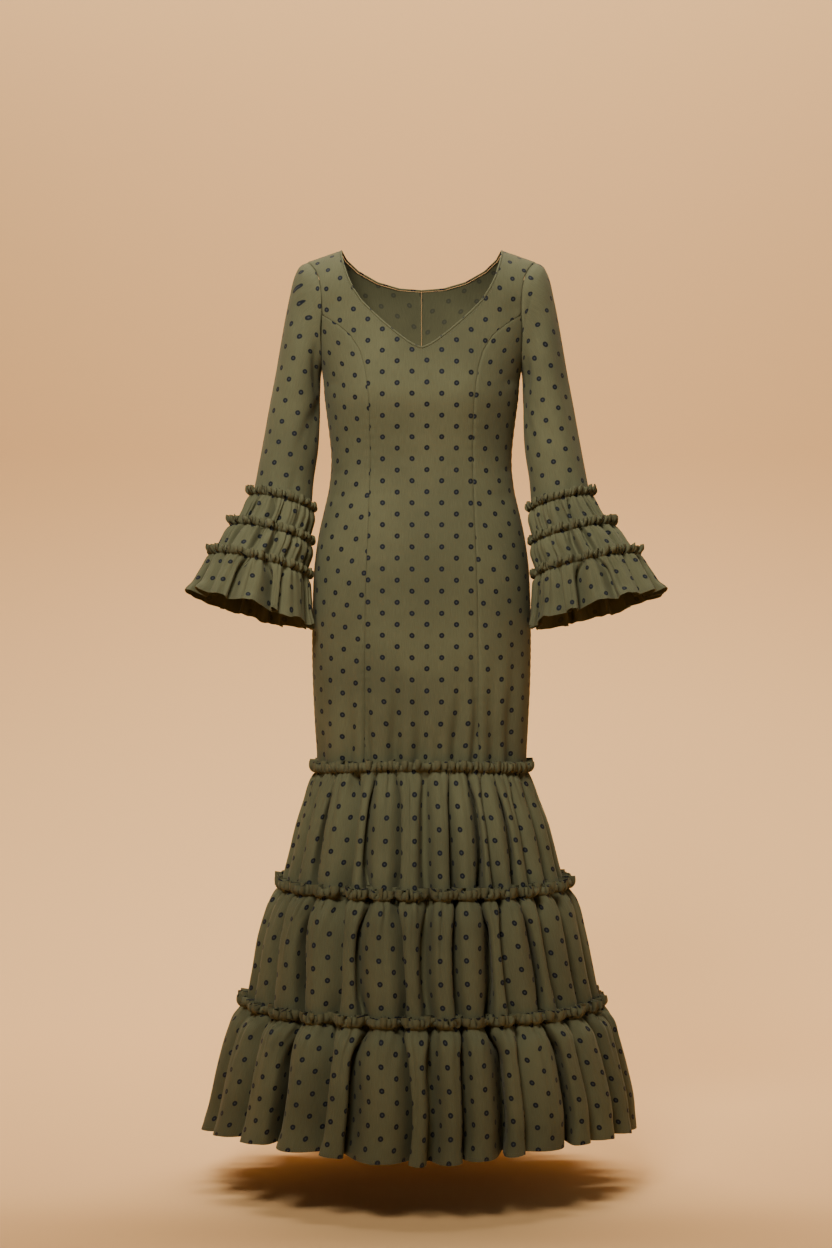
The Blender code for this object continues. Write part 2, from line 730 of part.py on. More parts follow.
def clear_of_body(ring):
    """Moves points that come too near the body out to its side."""
    moved = []
    for point in ring:
        depth = float(smooth(BODY, "front" if point[1] < 0 else "back", point[2]))
        share = min(1.0, abs(point[1]) / depth)
        width = float(smooth(BODY, "half_width", point[2])) * (1 - share**SQUARENESS) ** (1 / SQUARENESS)
        nearest = width + BODY_CLEARANCE
        moved.append(np.array((max(point[0], nearest), point[1], point[2])))
    return moved


def cuff_tier(number, side):
    """A gathered tier of the left cuff, from the top of its heading to the seam below it, or to its hem."""
    drop = CUFF_SEAM_TUCK if number < 2 else 0.0
    top = ring_offset(cuff_ring(number - CUFF_HEADING, side), SEAM_OFFSET + CUFF_HEADING_FLARE)
    rings = [top]
    rings.append(ring_offset(cuff_ring(number, side), CUFF_SEAM_OFFSET))
    rings.append(ring_offset(cuff_ring(number + CUFF_PUFF, side), CUFF_SEAM_OFFSET))
    rings.append(cuff_ring(number + 1, side, rise=-drop, flare=-drop / 2))
    return tube(rings)


def skirt_folds():
    """All valleys round the skirt, by angle in each tier, with their depths. Hidden ones are like the shown."""
    rows = [tuple(FRONT_FOLDS[name][i] for name in FRONT_FOLDS) for i in range(len(FRONT_FOLDS["angle_1"]))]
    last = rows[-1]
    first = rows[0]
    for i in range(HIDDEN_FOLDS):
        angles = []
        for tier in range(3):
            span = 360 + first[tier] - last[tier]
            shift = HIDDEN_DRIFT * uneven(i, 2.3, 0.9 * tier)
            angles.append(last[tier] + span * (i + 1 + shift) / (HIDDEN_FOLDS + 1))
        depths = [HIDDEN_DEPTH + HIDDEN_DEPTH_SPREAD * uneven(i, 1.7, 1.3 * tier) for tier in range(3)]
        rows.append((*angles, *depths))
    return rows


def across_tiers(height, values):
    """A value that each tier has at its own level, read at any height."""
    return float(np.interp(-height, [-level for level in TIER_LEVELS], values))


def level_change(angle, height):
    """How far the rings dip at the side seams near the first seam, and rise between them at the hem."""
    dip = np.interp(height, (SKIRT_SEAMS[1], SKIRT_SEAMS[0]), (0.0, SIDE_DROP))
    lift = np.interp(height, (HEM_HEIGHT, SKIRT_SEAMS[2]), (HEM_LIFT, 0.0))
    return float(lift * math.sin(2 * angle) ** 2 - dip * math.sin(angle) ** 2)


def skirt_ring(height, rise=0.0, flare=0.0):
    """One ring of the skirt at this height, counter-clockwise from above, with its folds pressed in."""
    read = {name: float(smooth(SKIRT, name, height)) for name in SKIRT if name != "height"}
    power = 2 / read["squareness"]
    folds = skirt_folds()
    ring = []
    for i, fold in enumerate(folds):
        following = folds[(i + 1) % len(folds)]
        start = across_tiers(height, fold[:3])
        end = across_tiers(height, following[:3]) + (360 if i + 1 == len(folds) else 0)
        depths = across_tiers(height, fold[3:]), across_tiers(height, following[3:])
        for part in FOLD_STEPS:
            angle = math.radians(start + (end - start) * part)
            depth = read["front"] if math.cos(angle) > 0 else read["back"]
            x = read["half_width"] * signed_power(math.sin(angle), power)
            y = -depth * signed_power(math.cos(angle), power)
            out = np.array((x / read["half_width"] ** 2, y / depth**2, 0.0))
            out /= np.linalg.norm(out)
            pressed = valley(part) * (depths[0] if part < 0.5 else depths[1]) * read["fold_depth"]
            point = np.array((read["middle_x"] + x, y, height + rise + level_change(angle, height)))
            ring.append(point + out * (flare - pressed))
    return ring


def skirt_tier(number):
    """A gathered tier of the skirt, from the top of its heading to the seam below it, or to the hem."""
    seam = SKIRT_SEAMS[number]
    lowest = HEM_HEIGHT if number == 2 else SKIRT_SEAMS[number + 1]
    drop = 0.0 if number == 2 else SEAM_TUCK
    below = seam - PUFF_DROP
    rings = [skirt_ring(seam + HEADING_HEIGHT, flare=SEAM_OFFSET + HEADING_FLARE)]
    rings.append(ring_offset(skirt_ring(seam), SEAM_OFFSET))
    rings.append(ring_offset(skirt_ring(below), SEAM_OFFSET))
    rings.append(skirt_ring((below + lowest) / 2))
    rings.append(skirt_ring(lowest, rise=-drop))
    return tube(rings)


def main():
    for obj in list(bpy.data.objects):
        bpy.data.objects.remove(obj)
    frames = neck_frames()
    front_centre(frames)
    side = front_side()
    cloth("front_side_left", side)
    cloth("front_side_right", side.mirrored())
    back = back_half(frames)
    cloth("back_left", back)
    cloth("back_right", back.mirrored())
    neck_binding(frames)
    cloth("sleeve_left", sleeve(), own_normals=False)
    cloth("sleeve_right", sleeve().mirrored(), own_normals=False)
    for number in range(3):
        cloth(f"cuff_tier_{number + 1}_left", cuff_tier(number, "left"), own_normals=False)
        right = cuff_tier(number, "right").mirrored()
        cloth(f"cuff_tier_{number + 1}_right", right, own_normals=False)
        cloth(f"skirt_tier_{number + 1}", skirt_tier(number), own_normals=False)


main()
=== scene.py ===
"""Polka dot dress: its cloth, stitches, finishes, light and view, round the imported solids.

Units are metres, +Z is up and the front faces -Y. The origin lies midway between the two neck ends of
the shoulder seams. Left and right are the wearer's, so left is at +X. The sizes are those of the solids.
"""

import math

import bpy
import numpy as np
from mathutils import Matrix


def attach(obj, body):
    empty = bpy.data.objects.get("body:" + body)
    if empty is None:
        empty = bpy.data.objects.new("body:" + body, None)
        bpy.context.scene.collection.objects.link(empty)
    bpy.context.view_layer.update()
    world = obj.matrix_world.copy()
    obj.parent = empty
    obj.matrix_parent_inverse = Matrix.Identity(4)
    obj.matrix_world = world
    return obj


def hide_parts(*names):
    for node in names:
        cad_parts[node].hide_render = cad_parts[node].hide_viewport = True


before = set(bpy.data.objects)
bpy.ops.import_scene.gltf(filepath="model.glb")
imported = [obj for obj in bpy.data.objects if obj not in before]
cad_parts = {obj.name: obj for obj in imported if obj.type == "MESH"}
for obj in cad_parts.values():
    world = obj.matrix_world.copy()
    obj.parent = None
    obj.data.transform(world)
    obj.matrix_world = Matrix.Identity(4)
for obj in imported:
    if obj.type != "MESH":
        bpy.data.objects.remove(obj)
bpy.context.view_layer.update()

SEAM_GAP = 0.0003
HALF_GAP = SEAM_GAP / 2
SHELL = 0.0009
FRILL_SHELL = 0.0007
MIRROR = np.array((-1.0, 1.0, 1.0))


def table(columns, rows):
    """The rows as one array for each named column."""
    return {name: np.array(values) for name, values in zip(columns.split(), zip(*rows))}


def row_of(rows, number):
    """One row of a table, with each value under its column's name."""
    return {name: values[number] for name, values in rows.items()}


# The fitted body. Depths run from the side seam's plane to the centre front and the centre back.
BODY = table(
    "height half_width front back",
    (
        (-0.830, 0.1650, 0.1010, 0.1060),
        (-0.802, 0.1650, 0.1010, 0.1080),
        (-0.739, 0.1680, 0.1030, 0.1130),
        (-0.676, 0.1710, 0.1040, 0.1200),
        (-0.613, 0.1720, 0.1040, 0.1250),
        (-0.550, 0.1710, 0.1030, 0.1240),
        (-0.488, 0.1675, 0.1010, 0.1150),
        (-0.440, 0.1600, 0.0980, 0.1040),
        (-0.409, 0.1530, 0.0950, 0.0970),
        (-0.378, 0.1460, 0.0920, 0.0910),
        (-0.346, 0.1424, 0.0910, 0.0880),
        (-0.322, 0.1420, 0.0930, 0.0880),
        (-0.299, 0.1440, 0.0970, 0.0900),
        (-0.267, 0.1480, 0.1040, 0.0940),
        (-0.236, 0.1520, 0.1100, 0.0970),
        (-0.192, 0.1565, 0.1080, 0.1000),
        (-0.167, 0.1640, 0.1050, 0.1010),
        (-0.130, 0.1760, 0.0990, 0.0990),
        (-0.100, 0.1860, 0.0930, 0.0950),
        (-0.060, 0.1950, 0.0880, 0.0880),
        (0.000, 0.2000, 0.0840, 0.0740),
        (0.050, 0.2050, 0.0800, 0.0600),
    ),
)
SQUARENESS = 2.3
BUST_FULLNESS = 0.008
BUST_X = 0.085
BUST_HEIGHT = -0.215
BUST_SPREAD = 0.055
NECK_X = 0.125
SHOULDER_TIP_X = 0.180
SHOULDER_DROP = 0.019
SHOULDER_SLOPE = SHOULDER_DROP / (SHOULDER_TIP_X - NECK_X)
FRONT_ROUNDING = 0.080
BACK_ROUNDING = 0.110
BODY_HEM = -0.814
BODY_TUCK_LEVEL = -0.740
ARMPIT_HEIGHT = -0.192
LEVEL_TOP = -0.262
SIDE_DROP = 0.009

# Seam lines as seen from the front, from their lower end up.
PRINCESS = table(
    "x height",
    (
        (0.0902, BODY_HEM),
        (0.0885, -0.665),
        (0.0870, -0.540),
        (0.0825, -0.420),
        (0.0800, -0.350),
        (0.0800, -0.296),
        (0.0816, -0.243),
        (0.0843, -0.217),
        (0.0884, -0.1875),
        (0.0962, -0.161),
        (0.1126, -0.1356),
        (0.1330, -0.1190),
        (0.1550, -0.1047),
    ),
)
ARMHOLE = table(
    "x height",
    (
        (0.1565, ARMPIT_HEIGHT),
        (0.1572, -0.172),
        (0.1572, -0.150),
        (0.1562, -0.126),
        (0.1550, -0.1047),
        (0.1555, -0.083),
        (0.1572, -0.063),
        (0.1605, -0.046),
        (0.1670, -0.032),
        (0.1740, -0.0235),
        (SHOULDER_TIP_X, -SHOULDER_DROP),
    ),
)
FRONT_NECK = table(
    "x height",
    (
        (0.0000, -0.1572),
        (0.0100, -0.1535),
        (0.0208, -0.1471),
        (0.0408, -0.1317),
        (0.0593, -0.1159),
        (0.0765, -0.0998),
        (0.0920, -0.0840),
        (0.1046, -0.0647),
        (0.1130, -0.0470),
        (0.1200, -0.0252),
        (0.1240, -0.0100),
        (NECK_X, 0.0),
    ),
)
BACK_NECK = table(
    "x height",
    (
        (0.0000, -0.0560),
        (0.0350, -0.0535),
        (0.0700, -0.0440),
        (0.1000, -0.0280),
        (0.1180, -0.0120),
        (NECK_X, 0.0),
    ),
)
BINDING_WIDTH = 0.003
BINDING_PROUD = 0.0006

# Soft troughs pressed into the body, from a low end to a high end. They fade out at the high end, and
# at the low end too where fades is 1. Side is 1 on the front and -1 on the back.
CREASES = table(
    "x_low low x_high high depth width fades side",
    (
        (-0.1540, -0.820, -0.1560, -0.640, 0.0057, 0.007, 0, 1),
        (-0.1180, -0.820, -0.1130, -0.610, 0.0118, 0.010, 0, 1),
        (-0.0870, -0.820, -0.0830, -0.560, 0.0091, 0.007, 0, 1),
        (-0.0405, -0.820, -0.0370, -0.590, 0.0129, 0.010, 0, 1),
        (-0.0040, -0.820, -0.0010, -0.640, 0.0133, 0.010, 0, 1),
        (0.0250, -0.820, 0.0270, -0.720, 0.0057, 0.008, 0, 1),
        (0.0540, -0.820, 0.0600, -0.620, 0.0125, 0.010, 0, 1),
        (0.0840, -0.820, 0.0850, -0.560, 0.0095, 0.007, 0, 1),
        (0.1110, -0.820, 0.1120, -0.600, 0.0114, 0.009, 0, 1),
        (0.1400, -0.820, 0.1440, -0.560, 0.0095, 0.009, 0, 1),
        (-0.1340, -0.520, -0.1050, -0.400, 0.0022, 0.010, 1, 1),
        (-0.1420, -0.395, -0.0960, -0.365, 0.0026, 0.007, 1, 1),
        (-0.1420, -0.365, -0.1000, -0.325, 0.0020, 0.007, 1, 1),
        (0.1420, -0.402, 0.0940, -0.372, 0.0022, 0.008, 1, 1),
        (0.1430, -0.360, 0.1060, -0.318, 0.0018, 0.007, 1, 1),
        (-0.1500, -0.205, -0.1120, -0.230, 0.0026, 0.007, 1, 1),
        (0.1500, -0.200, 0.1120, -0.226, 0.0026, 0.007, 1, 1),
        (-0.1540, -0.100, -0.1220, -0.070, 0.0018, 0.009, 1, 1),
        (0.1540, -0.104, 0.1240, -0.072, 0.0018, 0.009, 1, 1),
        (-0.0600, -0.330, 0.0500, -0.318, 0.0012, 0.012, 1, 1),
        (-0.1430, -0.820, -0.1450, -0.600, 0.0095, 0.009, 0, -1),
        (-0.0980, -0.820, -0.0950, -0.640, 0.0118, 0.010, 0, -1),
        (-0.0520, -0.820, -0.0500, -0.580, 0.0110, 0.010, 0, -1),
        (0.0450, -0.820, 0.0480, -0.620, 0.0125, 0.010, 0, -1),
        (0.0900, -0.820, 0.0880, -0.570, 0.0106, 0.009, 0, -1),
        (0.1300, -0.820, 0.1340, -0.640, 0.0106, 0.010, 0, -1),
        (-0.1300, -0.400, -0.0300, -0.360, 0.0030, 0.010, 1, -1),
        (-0.1200, -0.360, -0.0200, -0.335, 0.0026, 0.009, 1, -1),
        (0.1300, -0.396, 0.0360, -0.352, 0.0030, 0.010, 1, -1),
        (0.1240, -0.350, 0.0300, -0.322, 0.0022, 0.009, 1, -1),
        (-0.1450, -0.190, -0.0900, -0.150, 0.0026, 0.010, 1, -1),
        (0.1450, -0.186, 0.0880, -0.140, 0.0026, 0.010, 1, -1),
    ),
)
SEAM_GROOVE = 0.0010
SEAM_GROOVE_WIDTH = 0.0017
PUCKER = 0.00035
PUCKER_WIDTH = 0.008
PUCKER_PITCH = 0.0135

# Sleeve rings from the cap down: the outer and the inner point as seen from the front, then the
# ring's middle and half depth from front to back, and how far its front edge is tilted up.
SLEEVE = table(
    "ring outer_x outer_height inner_x inner_height middle_y half_depth bow tilt",
    (
        (1, 0.1905, -0.0300, 0.1580, -0.1950, 0.0010, 0.0565, 0.012, 0.0),
        (2, 0.2015, -0.0500, 0.1585, -0.1990, 0.0010, 0.0570, 0.009, 0.0),
        (3, 0.2090, -0.0800, 0.1588, -0.2050, 0.0010, 0.0575, 0.006, 1.0),
        (4, 0.2155, -0.1140, 0.1590, -0.2130, 0.0000, 0.0580, 0.003, 2.0),
        (5, 0.2220, -0.1520, 0.1590, -0.2240, -0.0010, 0.0575, 0.001, 3.0),
        (6, 0.2290, -0.1940, 0.1590, -0.2400, -0.0030, 0.0560, 0.000, 5.0),
        (7, 0.2385, -0.2450, 0.1595, -0.2680, -0.0060, 0.0535, 0.000, 7.0),
        (8, 0.2480, -0.3000, 0.1620, -0.3140, -0.0120, 0.0510, 0.000, 9.0),
        (9, 0.2570, -0.3500, 0.1690, -0.3640, -0.0200, 0.0490, 0.000, 10.0),
        (10, 0.2645, -0.3920, 0.1722, -0.4150, -0.0285, 0.0480, 0.000, 10.0),
    ),
)
SLEEVE_ARMHOLE_GAP = 0.0006
# Soft troughs in a sleeve: the middle's turn in degrees (90 is the front) and ring, the depth, the half
# length down the sleeve in rings, the half width in degrees and the slant in degrees for each ring.
SLEEVE_CREASES = table(
    "turn ring depth length width slant",
    (
        (40, 4.2, 0.0050, 2.6, 15, -7),
        (70, 3.0, 0.0022, 2.2, 11, -3),
        (112, 2.6, 0.0018, 2.0, 10, 2),
        (28, 7.0, 0.0034, 1.5, 12, 16),
        (60, 7.4, 0.0030, 1.2, 12, 20),
        (96, 7.9, 0.0020, 1.4, 11, 12),
        (135, 6.6, 0.0018, 2.0, 12, 4),
        (75, 9.4, 0.0022, 1.0, 9, 4),
        (120, 9.6, 0.0020, 0.9, 9, -4),
        (200, 4.0, 0.0020, 2.4, 13, 5),
        (250, 3.6, 0.0028, 2.2, 13, 5),
        (310, 4.6, 0.0045, 2.4, 15, 8),
        (285, 7.2, 0.0030, 1.3, 12, -18),
        (330, 7.3, 0.0032, 1.4, 12, -14),
        (235, 8.2, 0.0022, 1.4, 12, -10),
        (265, 9.5, 0.0020, 1.0, 9, 5),
    ),
)

# Cuff rings against the seam that they belong to: 0, 1 and 2 are the three gathered seams, 3 the hem.
CUFF = table(
    "seam middle_x half_width outer_height inner_height middle_y half_depth fold_depth",
    (
        (-0.3, 0.2168, 0.0456, -0.374, -0.397, -0.0260, 0.0482, 0.0000),
        (0.00, 0.2183, 0.0465, -0.387, -0.410, -0.0280, 0.0484, 0.0000),
        (0.30, 0.2215, 0.0530, -0.401, -0.425, -0.0300, 0.0550, 0.0060),
        (1.00, 0.2355, 0.0615, -0.434, -0.462, -0.0340, 0.0650, 0.0070),
        (1.30, 0.2410, 0.0695, -0.447, -0.477, -0.0360, 0.0730, 0.0100),
        (2.00, 0.2555, 0.0775, -0.480, -0.514, -0.0400, 0.0830, 0.0090),
        (2.30, 0.2600, 0.0870, -0.496, -0.535, -0.0420, 0.0900, 0.0140),
        (3.00, 0.2710, 0.1035, -0.536, -0.592, -0.0480, 0.1020, 0.0200),
    ),
)
CUFF_TILT = 10.0
CUFF_FOLDS = 14
CUFF_HEADING_HEIGHT = 0.0115
CUFF_HEADING_FLARE = 0.0065
CUFF_FLARE = {"left": 1.03, "right": 0.965}
CUFF_TIER_LENGTH = (0.056, 0.058, 0.078)
CUFF_INNER_PRESS = 0.45
BODY_CLEARANCE = 0.0035

# The skirt as an oval at each height, with the depth of its folds.
SKIRT = table(
    "height middle_x half_width front back fold_depth squareness",
    (
        (-1.375, -0.0040, 0.3400, 0.3040, 0.3080, 0.0340, 2.0),
        (-1.330, 0.0000, 0.3340, 0.2960, 0.3000, 0.0320, 2.0),
        (-1.280, 0.0005, 0.3230, 0.2850, 0.2900, 0.0300, 2.0),
        (-1.230, 0.0015, 0.3080, 0.2700, 0.2760, 0.0280, 2.0),
        (-1.205, 0.0025, 0.2970, 0.2580, 0.2650, 0.0250, 2.0),
        (-1.185, 0.0025, 0.2810, 0.2410, 0.2500, 0.0220, 2.0),
        (-1.165, 0.0020, 0.2770, 0.2370, 0.2460, 0.0230, 2.0),
        (-1.120, 0.0015, 0.2680, 0.2290, 0.2380, 0.0240, 2.0),
        (-1.070, 0.0010, 0.2570, 0.2170, 0.2260, 0.0240, 2.02),
        (-1.030, 0.0025, 0.2430, 0.2030, 0.2120, 0.0210, 2.04),
        (-1.015, 0.0030, 0.2350, 0.1940, 0.2030, 0.0190, 2.06),
        (-1.001, 0.0030, 0.2260, 0.1840, 0.1940, 0.0180, 2.08),
        (-0.980, 0.0020, 0.2200, 0.1780, 0.1880, 0.0190, 2.1),
        (-0.940, 0.0020, 0.2100, 0.1640, 0.1730, 0.0180, 2.14),
        (-0.890, 0.0015, 0.1970, 0.1450, 0.1520, 0.0150, 2.18),
        (-0.850, 0.0005, 0.1820, 0.1240, 0.1300, 0.0100, 2.22),
        (-0.828, 0.0000, 0.1730, 0.1110, 0.1160, 0.0050, 2.26),
        (-0.811, 0.0000, 0.1655, 0.1017, 0.1080, 0.0000, SQUARENESS),
        (-0.790, 0.0000, 0.1655, 0.1017, 0.1090, 0.0000, SQUARENESS),
    ),
)
SKIRT_SEAMS = (-0.811, -1.001, -1.185)
HEM_HEIGHT = -1.375
HEM_LIFT = 0.012
SEAM_TUCK = 0.004

# Valleys between the skirt's folds that show from the front: their angle from the centre front in
# degrees, positive towards +X, and their depth against the height's own fold depth, in each tier.
FRONT_FOLDS = table(
    "angle_1 angle_2 angle_3 depth_1 depth_2 depth_3",
    (
        (-80.0, -78.0, -76.0, 0.8, 0.9, 0.8),
        (-66.0, -62.0, -58.0, 0.8, 0.7, 0.7),
        (-50.6, -44.5, -40.9, 0.7, 1.2, 1.2),
        (-33.7, -31.5, -30.7, 1.2, 0.8, 0.7),
        (-21.7, -19.7, -16.5, 0.9, 0.7, 0.9),
        (-11.3, -8.1, -4.9, 0.9, 0.8, 0.8),
        (1.8, 1.5, 4.1, 0.8, 0.7, 0.7),
        (12.3, 12.0, 12.5, 1.1, 0.8, 0.9),
        (22.8, 21.5, 20.5, 1.2, 1.1, 1.2),
        (30.5, 31.0, 31.0, 0.6, 0.6, 0.4),
        (39.0, 41.0, 42.0, 0.9, 0.8, 1.0),
        (50.5, 51.0, 54.0, 0.9, 1.1, 0.8),
        (64.0, 63.0, 66.0, 0.8, 0.8, 0.9),
        (78.0, 76.0, 78.0, 0.9, 0.9, 0.8),
    ),
)
HIDDEN_FOLDS = 15
TIER_LEVELS = (-0.97, -1.12, -1.29)

# How each tier is gathered: the frill above the stitch line and the gathers below it.
TIERS = table(
    "columns heading flare crimps crimp_depth gather_depth gather_length press",
    (
        (960, 0.0150, 0.0065, 108, 0.0038, 0.0024, 0.018, 0.0120),
        (1120, 0.0165, 0.0075, 146, 0.0043, 0.0026, 0.020, 0.0100),
        (1280, 0.0160, 0.0075, 176, 0.0043, 0.0026, 0.021, 0.0100),
    ),
)
HEADING_ROWS = (-1.0, -0.9, -0.74, -0.56, -0.38, -0.2, -0.08)
UPPER_ROWS = (0.0, 0.0016, 0.0034, 0.0056, 0.0082, 0.0112, 0.0146, 0.0186, 0.0236, 0.0300, 0.0376, 0.0460)
ROW_STEP = 0.0120
VALLEY_GAIN = 1.85
VALLEY_WIDTH = 0.15

DOT_COLUMN = 0.0229
DOT_PITCH = 0.0341
DOT_RADIUS = 0.0041
DOT_EDGE = 0.0004
DOT_MIDDLE = (0.0007, 0.0019)
OLIVE = (0.101, 0.098, 0.048)
OLIVE_INSIDE = (0.085, 0.080, 0.038)
DOT = (0.0060, 0.0078, 0.0105)
DOT_CENTRE = (0.050, 0.052, 0.050)
THREAD = (0.060, 0.053, 0.026)


def smooth(rows, column, at, key="height"):
    """Reads a column along a smooth curve through its rows, which may be given in either order."""
    order = np.argsort(rows[key])
    places = rows[key][order]
    values = rows[column][order]
    slopes = np.gradient(values, places)
    at = np.clip(at, places[0], places[-1])
    left = np.clip(np.searchsorted(places, at) - 1, 0, len(places) - 2)
    width = places[left + 1] - places[left]
    part = (at - places[left]) / width
    rise = 3 * part**2 - 2 * part**3
    return (
        (1 - rise) * values[left]
        + rise * values[left + 1]
        + (part**3 - 2 * part**2 + part) * width * slopes[left]
        + (part**3 - part**2) * width * slopes[left + 1]
    )


def smooth_row(rows, at, key="height"):
    """Every column but the key's own, read at one place."""
    return {name: float(smooth(rows, name, at, key)) for name in rows if name != key}


def ease(value):
    value = np.clip(value, 0.0, 1.0)
    return value * value * (3 - 2 * value)


def hump(value, width):
    return np.exp(-((value / width) ** 2))


def signed_power(value, power):
    return np.sign(value) * np.abs(value) ** power


def wander(value, seed):
    """A slow uneven wave between about -1 and 1, the same each run."""
    parts = ((1.0, 0.42), (2.37, 0.30), (4.19, 0.18), (7.31, 0.10))
    return sum(size * np.sin(rate * value + seed * (1.7 + rate)) for rate, size in parts)


def unit(vectors):
    return vectors / np.maximum(np.linalg.norm(vectors, axis=-1, keepdims=True), 1e-12)


def both_halves(line):
    """A line on the left half and its mirror image, joined into one closed line."""
    return np.concatenate((line, (line * MIRROR)[-2:0:-1]))


def shares_of(line):
    steps = np.hypot(np.diff(line["x"]), np.diff(line["height"]))
    length = np.concatenate(([0.0], np.cumsum(steps)))
    return length / length[-1]


def along(line, share):
    """The x and height of a seam line at these shares of its length."""
    known = shares_of(line)
    return np.interp(share, known, line["x"]), np.interp(share, known, line["height"])


def share_at(line, height):
    return np.interp(height, line["height"], shares_of(line))


def edge_beside(line, distance, centre_drop):
    """The line moved off the neck opening by this distance."""
    run_x = np.gradient(line["x"])
    run_height = np.gradient(line["height"])
    length = np.hypot(run_x, run_height)
    x = line["x"] + run_height / length * distance
    height = line["height"] - run_x / length * distance
    x[0] = 0.0
    height[0] = line["height"][0] - centre_drop
    x[-1] = NECK_X + distance
    height[-1] = shoulder_height(x[-1])
    return {"x": x, "height": height}


def shoulder_height(x):
    return (NECK_X - np.abs(x)) * SHOULDER_SLOPE


def body_form(angle, height):
    """The fitted body. The angle is 0 at the centre front, 90 degrees at the left side seam."""
    x = smooth(BODY, "half_width", height) * signed_power(np.sin(angle), 2 / SQUARENESS)
    facing = np.cos(angle)
    front = facing > 0
    depth = np.where(front, smooth(BODY, "front", height), smooth(BODY, "back", height))
    y = -depth * signed_power(facing, 2 / SQUARENESS)
    rounding = np.where(front, FRONT_ROUNDING, BACK_ROUNDING)
    rise = np.maximum(0.0, (height - shoulder_height(x) + rounding) / rounding)
    y = y * np.sqrt(np.maximum(0.0, 1 - rise**2))
    bust = hump(np.abs(x) - BUST_X, BUST_SPREAD) * hump(height - BUST_HEIGHT, BUST_SPREAD)
    y = y - np.where(front, BUST_FULLNESS * bust * facing, 0.0)
    return np.stack((x, y, height + 0 * x), axis=-1)


def body_angle(x, height, front=True):
    """The angle at which the body has this x at this height."""
    share = np.minimum(1.0, np.abs(x) / smooth(BODY, "half_width", height))
    angle = np.arcsin(share ** (SQUARENESS / 2))
    return angle if front else math.pi - angle


def body_out(angle, height):
    step = 0.0006
    turn = step / 0.12
    across = body_form(angle + turn, height) - body_form(angle - turn, height)
    up = body_form(angle, height + step) - body_form(angle, height - step)
    return unit(np.cross(across, up))


def body_creases(points):
    """How deep the body's soft troughs are at these points."""
    x, y, height = points[..., 0], points[..., 1], points[..., 2]
    total = np.zeros_like(x)
    for i in range(len(CREASES["low"])):
        row = row_of(CREASES, i)
        run_x = row["x_high"] - row["x_low"]
        run_height = row["high"] - row["low"]
        length = math.hypot(run_x, run_height)
        part = ((x - row["x_low"]) * run_x + (height - row["low"]) * run_height) / length**2
        across = ((x - row["x_low"]) * run_height - (height - row["low"]) * run_x) / length
        bend = 0.0020 * np.sin(9 * part + 2 * i)
        low_end = ease(part / 0.35) if row["fades"] else 1.0
        fade = low_end * (1 - ease(part))
        side = ease(0.5 - row["side"] * y / 0.02)
        total += row["depth"] * hump(across + bend, row["width"]) * fade * side
    return total


def body_cloth(angle, height):
    points = body_form(angle, height)
    return points - body_out(angle, height) * body_creases(points)[..., None]


class BodyLengths:
    """How long the cloth of the body is, round it at one height and up it at one angle."""

    def __init__(self):
        self.angles = np.linspace(-math.pi, math.pi, 721)
        self.heights = np.linspace(-0.83, 0.0, 167)
        angle, height = np.meshgrid(self.angles, self.heights)
        points = body_cloth(angle, height)
        across = np.linalg.norm(np.diff(points, axis=1), axis=-1)
        up = np.linalg.norm(np.diff(points, axis=0), axis=-1)
        self.round = np.pad(np.cumsum(across, axis=1), ((0, 0), (1, 0)))
        self.upward = np.pad(np.cumsum(up, axis=0), ((1, 0), (0, 0)))

    def read(self, grid, angle, height):
        column = np.interp(angle, self.angles, np.arange(len(self.angles)))
        row = np.interp(height, self.heights, np.arange(len(self.heights)))
        i = np.minimum(row.astype(int), len(self.heights) - 2)
        j = np.minimum(column.astype(int), len(self.angles) - 2)
        up, right = row - i, column - j
        low = grid[i, j] * (1 - right) + grid[i, j + 1] * right
        high = grid[i + 1, j] * (1 - right) + grid[i + 1, j + 1] * right
        return low * (1 - up) + high * up

    def at(self, angle, height, reference):
        across = self.read(self.round, angle, height)
        across = across - self.read(self.round, np.full_like(angle, reference), height)
        return np.stack((across, self.read(self.upward, angle, height)), axis=-1)


def turned(places, degrees, shift):
    """Cloth places turned and shifted, to lay the dots as that piece was cut."""
    turn = math.radians(degrees)
    u = places[..., 0] * math.cos(turn) - places[..., 1] * math.sin(turn) + shift[0]
    v = places[..., 0] * math.sin(turn) + places[..., 1] * math.cos(turn) + shift[1]
    return np.stack((u, v), axis=-1)


def weld(grids):
    """Joins grids where their points meet. Gives the points, each face's four corners and their places."""
    points = np.concatenate([grid.reshape(-1, 3) for grid, _ in grids])
    _, first, numbers = np.unique(np.round(points, 7), axis=0, return_index=True, return_inverse=True)
    numbers = numbers.reshape(-1)
    corners = []
    spots = []
    start = 0
    for grid, places in grids:
        rows, columns = grid.shape[:2]
        own = np.arange(start, start + rows * columns).reshape(rows, columns)
        start += rows * columns
        quads = np.stack((own[:-1, :-1], own[:-1, 1:], own[1:, 1:], own[1:, :-1]), axis=-1)
        spots.append(np.stack((places[:-1, :-1], places[:-1, 1:], places[1:, 1:], places[1:, :-1]), axis=-2))
        corners.append(numbers[quads.reshape(-1, 4)])
    spots = np.concatenate([spot.reshape(-1, 4, 2) for spot in spots])
    return points[first], np.concatenate(corners), spots


def way_out(points, quads):
    a, b, c, d = (points[quads[:, k]] for k in range(4))
    flat = np.cross(c - a, d - b)
    total = np.zeros_like(points)
    for k in range(4):
        np.add.at(total, quads[:, k], flat)
    return unit(total)


def placed(name, data):
    """A new object of this data, in the scene."""
    obj = bpy.data.objects.new(name, data)
    bpy.context.scene.collection.objects.link(obj)
    return obj


